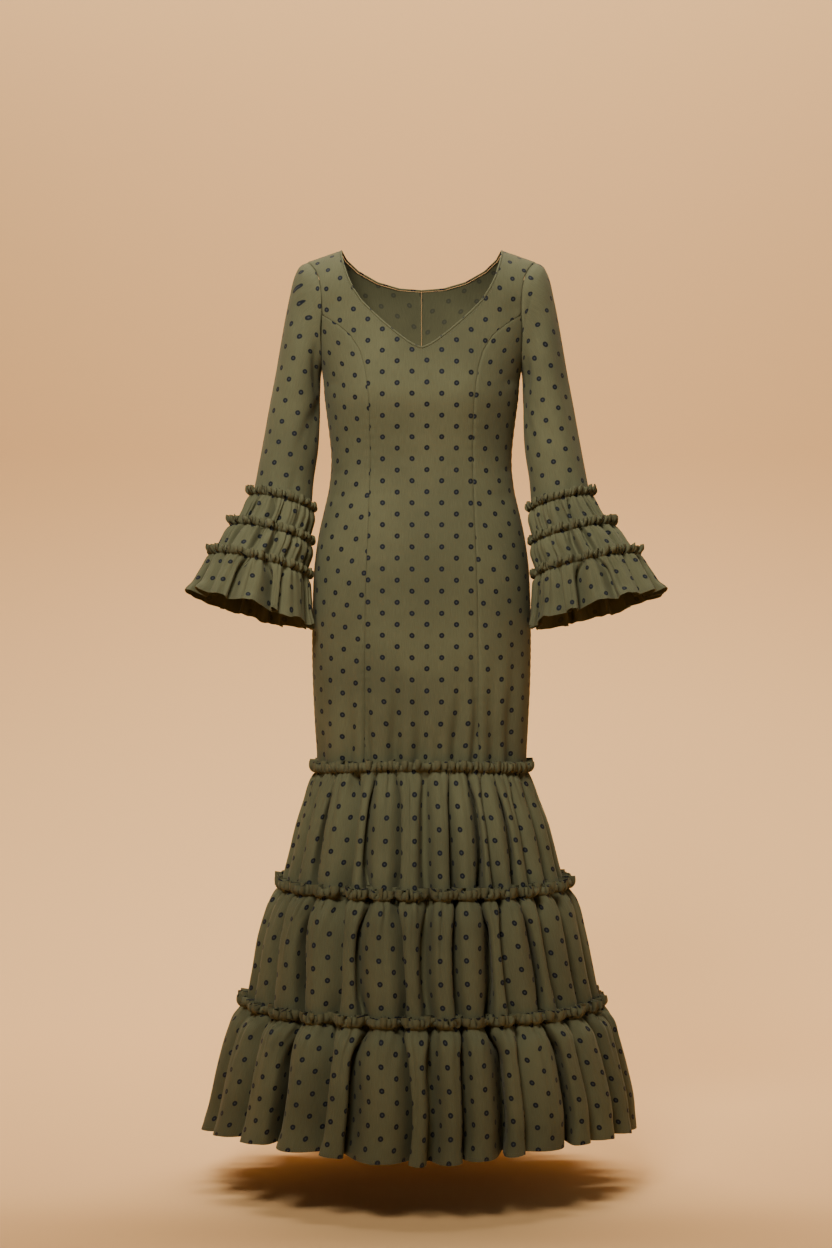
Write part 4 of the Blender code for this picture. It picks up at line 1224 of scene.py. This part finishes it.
def cuff_form(turn, seam, distance, side, number):
    """One ring of the left cuff: an oval in a tilted plane, with its folds pressed in."""
    read = smooth_row(CUFF, seam, "seam")
    widening = 1 + (CUFF_FLARE[side] - 1) * min(1.0, max(0.0, seam) / 2)
    tilt = math.radians(CUFF_TILT)
    rise = (read["outer_height"] - read["inner_height"]) / 2
    outward = np.array((read["half_width"] * widening, 0.0, rise))
    forward = np.array((0.0, -math.cos(tilt), math.sin(tilt))) * read["half_depth"]
    middle_x = read["middle_x"] + read["half_width"] * (widening - 1)
    middle = np.array((middle_x, read["middle_y"], (read["outer_height"] + read["inner_height"]) / 2))
    cos, sin = np.cos(turn)[:, None], np.sin(turn)[:, None]
    points = middle - cos * outward + sin * forward
    out = unit(-cos * unit(outward) + sin * unit(forward))
    along_ring = unit(sin * outward + cos * forward)
    angles, depths = cuff_folds(side, min(max(seam, 0.0), 3.0))
    fold, part = fold_reader(np.degrees(turn), angles)
    valley, nearest = pressed_in(part, fold, depths, 0.9 + 0.2 * ease(distance / 0.02))
    inner_side = (1 + np.cos(turn)) / 2
    early = CUFF_TIERS["press"][number] * ease(distance / 0.008) * math.exp(-distance / 0.05)
    pressed = valley * (read["fold_depth"] * CUFF_VALLEY_GAIN + early) * (1 - CUFF_INNER_PRESS * inner_side)
    lean = 0.7 * np.sin(2.9 * nearest + number) * ease(distance / 0.03)
    dent = hump(part - 0.5 - 0.16 * np.sin(2.3 * fold + number), 0.12)
    dent = dent * (0.6 + 0.4 * np.sin(1.7 * fold + number)) * ease(distance / 0.008)
    pressed = pressed + dent * (0.0030 + 0.12 * read["fold_depth"]) * (1 - 0.5 * inner_side)
    arch = np.sin(math.pi * part) ** 2
    return points - out * pressed[:, None] + along_ring * (pressed * lean)[:, None], out, arch


def cuff_grid(number, side):
    own = row_of(CUFF_TIERS, number)
    length = CUFF_TIER_LENGTH[number]
    last = number == 2
    turn = np.linspace(0, 2 * math.pi, int(own["columns"]) + 1)[:-1]
    valleys = []
    seed = number + (1.0 if side == "left" else 4.0)
    phase = uneven_phase(turn, own["crimps"], seed)
    pitch = 2 * math.pi / own["crimps"]
    upper = [row * 0.8 for row in UPPER_ROWS[:9]]
    lower = np.linspace(upper[-1], length, round((length - upper[-1]) / CUFF_ROW_STEP) + 1)[1:]
    rows = []
    distances = (*(row * CUFF_HEADING_HEIGHT for row in HEADING_ROWS), *upper, *lower)
    for distance in distances:
        below = max(distance, 0.0)
        up = max(-distance, 0.0) / CUFF_HEADING_HEIGHT
        wave, looping = crimp(phase, up)
        ring, out, arch = cuff_form(turn + looping * pitch, number + below / length, below, side, number)
        valleys.append(cuff_folds(side, min(number + below / length, 3.0))[0])
        strength = 0.8 + 0.35 * wander(6 * turn, seed)
        if distance < 0:
            flare = CUFF_HEADING_FLARE * curl(up) * (0.8 + 0.5 * wander(13 * turn, seed + 2))
            flop = np.cos(0.5 * phase + 1.3 * np.sin(7 * turn))
            folded = own["crimp_depth"] * (strength * wave + 0.5 * flop) * (0.4 + 0.75 * up)
            offset = SEAM_STEP + 0.001 + flare + folded
            rise = -distance + up**2 * (0.0020 * wander(17 * turn, seed) + 0.0016 * flop + 0.0008 * wave)
        else:
            puff = CUFF_PUFF * ease(distance / 0.008) * math.exp(-distance / 0.03)
            close = SEAM_STEP * (1 - ease((distance - 0.01) / 0.02))
            offset = close + puff + gathers(distance, turn, own, seed)
            crimped = own["crimp_depth"] * 0.4 * strength * wave
            offset = offset + crimped * math.exp(-distance / SEAM_CRIMP_LENGTH)
            rise = 0.0 * turn
        if last:
            near_hem = ease((distance - length + 0.022) / 0.022)
            offset = offset + near_hem * (0.0020 + 0.0030 * wander(5 * turn, seed + 6))
            rise = rise + near_hem * (0.0030 * wander(6 * turn, seed + 3) + 0.0034 * (arch - 0.5))
        else:
            offset = offset - 0.0015 * ease((distance - length + 0.010) / 0.008)
            rise = rise - 0.0015 * ease((distance - length + 0.010) / 0.008)
        ring = ring + out * offset[:, None]
        ring[:, 2] += rise
        rows.append(clear_of_body(ring))
    return closed_tier(rows, distances, turn, valleys, CUFF_FLAT_ROW)


def cuffs(finish):
    made = {}
    for side, sign in (("left", 1), ("right", -1)):
        for number in range(3):
            points, places = cuff_grid(number, side)
            key = f"cuff_tier_{number + 1}_{side}"
            made[key] = shell(f"cloth_{key}", [upward(points, places, sign)], FRILL_SHELL, finish)
    return made


# Finishes.
class Nodes:
    """Short ways to add and join a material's nodes."""

    def __init__(self, name):
        self.material = bpy.data.materials.new(name)
        self.material.use_nodes = True
        self.tree = self.material.node_tree
        self.shader = self.tree.nodes["Principled BSDF"]

    def add(self, kind, values=None, **settings):
        made = self.tree.nodes.new(kind)
        for key, value in settings.items():
            setattr(made, key, value)
        for key, value in (values or {}).items():
            if isinstance(value, bpy.types.NodeSocket):
                self.tree.links.new(value, made.inputs[key])
            else:
                made.inputs[key].default_value = value
        return made

    def math(self, operation, first, second=0.0, clamp=False):
        made = self.add("ShaderNodeMath", {0: first, 1: second}, operation=operation)
        made.use_clamp = clamp
        return made.outputs[0]

    def step(self, value, low, high):
        """1 where the value is under low, falling smoothly to 0 at high."""
        values = {"Value": value, "From Min": low, "From Max": high, "To Min": 1.0, "To Max": 0.0}
        return self.add("ShaderNodeMapRange", values, interpolation_type="SMOOTHSTEP").outputs["Result"]

    def mix(self, share, first, second):
        made = self.add("ShaderNodeMix", data_type="RGBA")
        for key, value in ((0, share), (6, first), (7, second)):
            if isinstance(value, bpy.types.NodeSocket):
                self.tree.links.new(value, made.inputs[key])
            elif key == 0:
                made.inputs[key].default_value = value
            else:
                made.inputs[key].default_value = (*value, 1.0)
        return made.outputs[2]

    def noise(self, vector, scale, detail=2.0, roughness=0.5):
        values = {"Vector": vector, "Scale": scale, "Detail": detail, "Roughness": roughness}
        return self.add("ShaderNodeTexNoise", values).outputs["Fac"]


def scaled(colour, factor):
    return tuple(value * factor for value in colour)


def dotted_cloth(name, olive, dot_strength):
    """Matte olive crepe woven with dark dots, each with a paler middle, in staggered columns."""
    nodes = Nodes(name)
    place = nodes.add("ShaderNodeUVMap", uv_map="cloth").outputs["UV"]
    split = nodes.add("ShaderNodeSeparateXYZ", {"Vector": place})
    u, v = split.outputs["X"], split.outputs["Y"]
    spot = nodes.add("ShaderNodeTexCoord").outputs["Object"]
    column = nodes.math("DIVIDE", u, DOT_COLUMN)
    parity = nodes.math("FLOORED_MODULO", nodes.math("FLOOR", column), 2.0)
    row = nodes.math("ADD", nodes.math("DIVIDE", v, DOT_PITCH), nodes.math("MULTIPLY", parity, 0.5))
    off_u = nodes.math("MULTIPLY", nodes.math("SUBTRACT", nodes.math("FRACT", column), 0.5), DOT_COLUMN)
    off_v = nodes.math("MULTIPLY", nodes.math("SUBTRACT", nodes.math("FRACT", row), 0.5), DOT_PITCH)
    squares = [nodes.math("POWER", off, 2.0) for off in (off_u, off_v)]
    radius = nodes.math("SQRT", nodes.math("ADD", *squares))
    ragged = nodes.math("MULTIPLY", nodes.math("SUBTRACT", nodes.noise(place, 900.0), 0.5), 0.0011)
    radius = nodes.math("ADD", radius, ragged)
    dot = nodes.step(radius, DOT_RADIUS - DOT_EDGE, DOT_RADIUS + DOT_EDGE)
    middle = nodes.step(radius, *DOT_MIDDLE)
    cell = nodes.add(
        "ShaderNodeCombineXYZ", {"X": nodes.math("FLOOR", column), "Y": nodes.math("FLOOR", row)}
    ).outputs[0]
    own = nodes.add("ShaderNodeTexWhiteNoise", {"Vector": cell}, noise_dimensions="2D").outputs["Value"]
    fibre = nodes.noise(place, 1500.0, 3.0, 0.6)
    slub = nodes.noise(
        nodes.add("ShaderNodeMapping", {"Vector": place, "Scale": (900.0, 60.0, 1.0)}).outputs[0], 1.0, 2.0
    )
    broad = nodes.noise(spot, 7.0, 3.0)
    tone = nodes.math("ADD", nodes.math("MULTIPLY", fibre, 0.34), nodes.math("MULTIPLY", slub, 0.22))
    tone = nodes.math("ADD", tone, nodes.math("MULTIPLY", broad, 0.44))
    tone = nodes.step(tone, 0.36, 0.66)
    cloth = nodes.mix(tone, scaled(olive, 1.20), scaled(olive, 0.80))
    dark = nodes.mix(own, scaled(DOT, 0.8), scaled(DOT, 1.35))
    ring = nodes.mix(nodes.math("MULTIPLY", middle, 0.75), dark, DOT_CENTRE)
    colour = nodes.mix(nodes.math("MULTIPLY", dot, dot_strength), cloth, ring)
    nodes.tree.links.new(colour, nodes.shader.inputs["Base Color"])
    twill = nodes.add(
        "ShaderNodeTexWave",
        {"Vector": place, "Scale": 330.0, "Distortion": 1.2, "Detail": 1.0, "Detail Scale": 2.0},
        bands_direction="DIAGONAL",
    ).outputs["Fac"]
    relief = nodes.math("ADD", nodes.math("MULTIPLY", twill, 0.45), nodes.math("MULTIPLY", fibre, 0.55))
    relief = nodes.math("ADD", relief, nodes.math("MULTIPLY", dot, 0.35))
    bump = nodes.add("ShaderNodeBump", {"Height": relief, "Strength": 0.5, "Distance": 0.00028})
    nodes.tree.links.new(bump.outputs["Normal"], nodes.shader.inputs["Normal"])
    rough = nodes.math("SUBTRACT", 0.92, nodes.math("MULTIPLY", dot, 0.14))
    nodes.tree.links.new(rough, nodes.shader.inputs["Roughness"])
    for key, value in (
        ("Sheen Weight", 0.07),
        ("Sheen Roughness", 0.45),
        ("Sheen Tint", (0.80, 0.74, 0.52, 1.0)),
        ("Specular IOR Level", 0.22),
    ):
        nodes.shader.inputs[key].default_value = value
    return nodes.material


def thread_finish():
    """Twisted sewing thread a little darker than the cloth."""
    nodes = Nodes("olive_thread")
    spot = nodes.add("ShaderNodeTexCoord").outputs["Object"]
    tone = nodes.noise(spot, 600.0, 2.0)
    colour = nodes.mix(tone, scaled(THREAD, 0.7), scaled(THREAD, 1.3))
    nodes.tree.links.new(colour, nodes.shader.inputs["Base Color"])
    bump = nodes.add("ShaderNodeBump", {"Height": tone, "Strength": 0.4, "Distance": 0.0001})
    nodes.tree.links.new(bump.outputs["Normal"], nodes.shader.inputs["Normal"])
    nodes.shader.inputs["Roughness"].default_value = 0.7
    nodes.shader.inputs["Sheen Weight"].default_value = 0.2
    return nodes.material


# Stitches.
STITCH_LENGTH = 0.0021
STITCH_THICKNESS = 0.00042
STITCH_SINK = 0.00010


def stitch_tree(material):
    """Geometry nodes that set short rounded stitches along a line."""
    tree = bpy.data.node_groups.new("stitches_along_line", "GeometryNodeTree")
    face = tree.interface
    face.new_socket("Geometry", in_out="INPUT", socket_type="NodeSocketGeometry")
    for name, value in (("Pitch", 0.003), ("Stitch length", STITCH_LENGTH), ("Thickness", STITCH_THICKNESS)):
        face.new_socket(name, in_out="INPUT", socket_type="NodeSocketFloat").default_value = value
    face.new_socket("Geometry", in_out="OUTPUT", socket_type="NodeSocketGeometry")
    add = tree.nodes.new
    start, end = add("NodeGroupInput"), add("NodeGroupOutput")
    curve = add("GeometryNodeMeshToCurve")
    spots = add("GeometryNodeCurveToPoints")
    spots.mode = "LENGTH"
    stitch = add("GeometryNodeMeshIcoSphere")
    stitch.inputs["Radius"].default_value = 0.5
    size = add("ShaderNodeCombineXYZ")
    uneven = add("FunctionNodeRandomValue")
    uneven.data_type = "FLOAT"
    uneven.inputs[2].default_value = 0.88
    uneven.inputs[3].default_value = 1.08
    uneven.inputs["Seed"].default_value = 7
    long = add("ShaderNodeMath")
    long.operation = "MULTIPLY"
    place = add("GeometryNodeInstanceOnPoints")
    real = add("GeometryNodeRealizeInstances")
    finish = add("GeometryNodeSetMaterial")
    finish.inputs["Material"].default_value = material
    for source, out, target, into in (
        (start, "Geometry", curve, "Mesh"),
        (curve, "Curve", spots, "Curve"),
        (start, "Pitch", spots, "Length"),
        (start, "Stitch length", long, 0),
        (uneven, 1, long, 1),
        (start, "Thickness", size, "X"),
        (start, "Thickness", size, "Y"),
        (long, 0, size, "Z"),
        (spots, "Points", place, "Points"),
        (spots, "Rotation", place, "Rotation"),
        (stitch, "Mesh", place, "Instance"),
        (size, 0, place, "Scale"),
        (place, "Instances", real, "Geometry"),
        (real, "Geometry", finish, "Geometry"),
        (finish, "Geometry", end, "Geometry"),
    ):
        tree.links.new(source.outputs[out], target.inputs[into])
    return tree


def stitched(name, tree, material, lines, pitch):
    """Stitches along closed or open lines of points, as one plain mesh."""
    points = np.concatenate([line for line, _ in lines])
    edges = []
    start = 0
    for line, closed in lines:
        edges += [(start + i, start + i + 1) for i in range(len(line) - 1)]
        if closed:
            edges.append((start + len(line) - 1, start))
        start += len(line)
    mesh = bpy.data.meshes.new(f"{name}_line")
    mesh.from_pydata(points.tolist(), edges, [])
    line_object = placed(f"{name}_line", mesh)
    modifier = line_object.modifiers.new("stitches", "NODES")
    modifier.node_group = tree
    sockets = {item.name: item.identifier for item in tree.interface.items_tree if item.in_out == "INPUT"}
    modifier[sockets["Pitch"]] = pitch
    modifier[sockets["Stitch length"]] = min(STITCH_LENGTH, pitch * 0.72)
    modifier[sockets["Thickness"]] = STITCH_THICKNESS
    evaluated = line_object.evaluated_get(bpy.context.evaluated_depsgraph_get())
    made = placed(name, bpy.data.meshes.new_from_object(evaluated))
    line_object.modifiers.clear()
    bpy.data.objects.remove(line_object)
    bpy.data.meshes.remove(mesh)
    made.data.shade_smooth()
    made.data.materials.clear()
    made.data.materials.append(material)
    return made


def hem_line(points, above_hem):
    """A line round a grid this far above its lowest row, lying on the cloth's outer face."""
    lowest, next_row = points[-1, :-1], points[-2, :-1]
    step = np.linalg.norm(lowest - next_row, axis=-1, keepdims=True)
    line = lowest + (next_row - lowest) * np.minimum(above_hem / step, 0.95)
    out = ring_out(line)
    return line + out * STITCH_SINK


HEM_STITCH_HEIGHT = 0.0055
NECK_STITCH_INSET = 0.0058


def neck_stitch_line():
    front = seam_places(edge_beside(FRONT_NECK, NECK_STITCH_INSET, 0.0065), np.linspace(0, 1, 121))
    back = seam_places(
        edge_beside(BACK_NECK, NECK_STITCH_INSET, NECK_STITCH_INSET), np.linspace(1, 0, 81)[1:], False
    )
    angle = np.concatenate((front[0], back[0]))
    height = np.concatenate((front[1], back[1]))
    height = under_shoulder(angle, height)
    line = body_cloth(angle, height) + body_out(angle, height) * STITCH_SINK
    return both_halves(line)


def all_stitches(material):
    tree = stitch_tree(material)
    made = {}
    made["neck_binding"] = stitched(
        "stitches_neck", tree, material, [(neck_stitch_line(), True)], 0.0030
    )
    points, _ = skirt_grid(2)
    made["skirt_tier_3"] = stitched(
        "stitches_skirt_hem", tree, material, [(hem_line(points, HEM_STITCH_HEIGHT), True)], 0.0032
    )
    for side, sign in (("left", 1), ("right", -1)):
        points, _ = cuff_grid(2, side)
        line = hem_line(points, HEM_STITCH_HEIGHT * 0.8) * np.array((sign, 1.0, 1.0))
        made[f"cuff_tier_3_{side}"] = stitched(
            f"stitches_cuff_hem_{side}", tree, material, [(line, True)], 0.0030
        )
    return made


def settle(pieces, stitches):
    for name, piece in pieces.items():
        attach(piece, "root")
        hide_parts(name)
    for name, piece in stitches.items():
        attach(piece, "root")
    for name, piece in pieces.items():
        together = [stitches[name]] if name in stitches else []


# The floor, the light and the view.
FLOOR_HEIGHT = -1.466
CAMERA_DISTANCE = 4.7
CAMERA_HEIGHT = -0.418
PHOTO_WIDTH = 832
PHOTO_HEIGHT = 1248
FOCAL_PIXELS = 2988
HORIZON_PIXEL = 516
MIDDLE_PIXEL = 421.5
SENSOR = 36.0


def stage():
    """A pale floor that curves up into a plain wall. It can't be seen from behind or from below."""
    depth, front, radius, top = 2.4, -7.0, 1.2, 5.0
    profile = [(front, FLOOR_HEIGHT), (depth - radius, FLOOR_HEIGHT)]
    for i in range(1, 17):
        turn = math.pi / 2 * i / 16
        profile.append(
            (depth - radius + radius * math.sin(turn), FLOOR_HEIGHT + radius * (1 - math.cos(turn)))
        )
    profile.append((depth, top))
    half = 6.0
    points = [(x, y, z) for y, z in profile for x in (-half, half)]
    faces = [(2 * i, 2 * i + 1, 2 * i + 3, 2 * i + 2) for i in range(len(profile) - 1)]
    mesh = bpy.data.meshes.new("stage_floor")
    mesh.from_pydata(points, [], faces)
    mesh.shade_smooth()
    nodes = Nodes("warm_pale_paper")
    spot = nodes.add("ShaderNodeTexCoord").outputs["Object"]
    tone = nodes.noise(spot, 0.7, 2.0)
    colour = nodes.mix(tone, (0.80, 0.475, 0.200), (0.84, 0.500, 0.212))
    nodes.tree.links.new(colour, nodes.shader.inputs["Base Color"])
    nodes.shader.inputs["Roughness"].default_value = 0.95
    nodes.shader.inputs["Specular IOR Level"].default_value = 0.1
    behind = nodes.add("ShaderNodeNewGeometry").outputs["Backfacing"]
    clear = nodes.add("ShaderNodeBsdfTransparent").outputs[0]
    either = nodes.add("ShaderNodeMixShader", {0: behind, 1: nodes.shader.outputs[0], 2: clear})
    nodes.tree.links.new(either.outputs[0], nodes.tree.nodes["Material Output"].inputs["Surface"])
    mesh.materials.append(nodes.material)
    obj = placed("stage_floor", mesh)


# Each area light's place, the spot it points at, its size, its power in watts and its spread in degrees.
LIGHTS = {
    "key": ((-0.50, -1.95, 1.10), (0.0, 0.0, -0.30), (0.9, 0.7), 13.2, 68.0),
    "fill": ((2.2, -2.2, 0.5), (0.0, 0.0, -0.5), (1.2, 1.8), 5.0, 180.0),
    "wall_wash": ((0.0, 1.1, 3.3), (0.0, 2.4, 0.2), (5.0, 0.8), 230.0, 140.0),
}
LIGHT_COLOUR = (1.0, 0.97, 0.93)
WORLD_COLOUR = (1.0, 0.965, 0.93, 1.0)
WORLD_STRENGTH = 0.08
WORLD_AS_SEEN = (0.64, 0.46, 0.31, 1.0)


def area_light(name, place, aim, size, power, spread):
    data = bpy.data.lights.new(name, "AREA")
    data.spread = math.radians(spread)
    data.shape = "RECTANGLE"
    data.size, data.size_y = size
    data.energy = power
    data.color = LIGHT_COLOUR
    obj = placed(name, data)
    toward = np.array(aim) - np.array(place)
    obj.location = place
    yaw = math.atan2(toward[0], -toward[1])
    pitch = math.atan2(math.hypot(toward[0], toward[1]), -toward[2])
    obj.rotation_euler = (pitch, 0.0, yaw + math.pi)


def light():
    """The area lights, and a faint even light that the camera sees as a plain warm colour."""
    for name, values in LIGHTS.items():
        area_light(name, *values)
    world = bpy.context.scene.world or bpy.data.worlds.new("studio")
    bpy.context.scene.world = world
    world.use_nodes = True
    background = world.node_tree.nodes["Background"]
    background.inputs["Color"].default_value = WORLD_COLOUR
    background.inputs["Strength"].default_value = WORLD_STRENGTH
    seen = world.node_tree.nodes.new("ShaderNodeBackground")
    seen.inputs["Color"].default_value = WORLD_AS_SEEN
    path = world.node_tree.nodes.new("ShaderNodeLightPath")
    either = world.node_tree.nodes.new("ShaderNodeMixShader")
    join = world.node_tree.links.new
    join(path.outputs["Is Camera Ray"], either.inputs[0])
    join(background.outputs[0], either.inputs[1])
    join(seen.outputs[0], either.inputs[2])
    join(either.outputs[0], world.node_tree.nodes["World Output"].inputs["Surface"])


def camera():
    data = bpy.data.cameras.new("camera")
    data.sensor_fit = "VERTICAL"
    data.sensor_height = SENSOR
    data.lens = FOCAL_PIXELS * SENSOR / PHOTO_HEIGHT
    data.shift_y = (HORIZON_PIXEL - PHOTO_HEIGHT / 2) / PHOTO_HEIGHT
    data.shift_x = (PHOTO_WIDTH / 2 - MIDDLE_PIXEL) / PHOTO_HEIGHT
    data.clip_end = 50.0
    obj = placed("camera", data)
    obj.location = (0.0, -CAMERA_DISTANCE, CAMERA_HEIGHT)
    obj.rotation_euler = (math.pi / 2, 0.0, 0.0)
    bpy.context.scene.camera = obj


def main():
    outside = dotted_cloth("dotted_crepe", OLIVE, 1.0)
    inside = dotted_cloth("dotted_crepe_wrong_side", OLIVE_INSIDE, 0.45)
    finish = (outside, inside)
    pieces = body_panels(finish)
    pieces["neck_binding"] = neck_binding(finish)
    pieces.update(sleeves(finish))
    pieces.update(cuffs(finish))
    pieces.update(skirt_tiers(finish))
    settle(pieces, all_stitches(thread_finish()))
    stage()
    light()
    camera()


main()
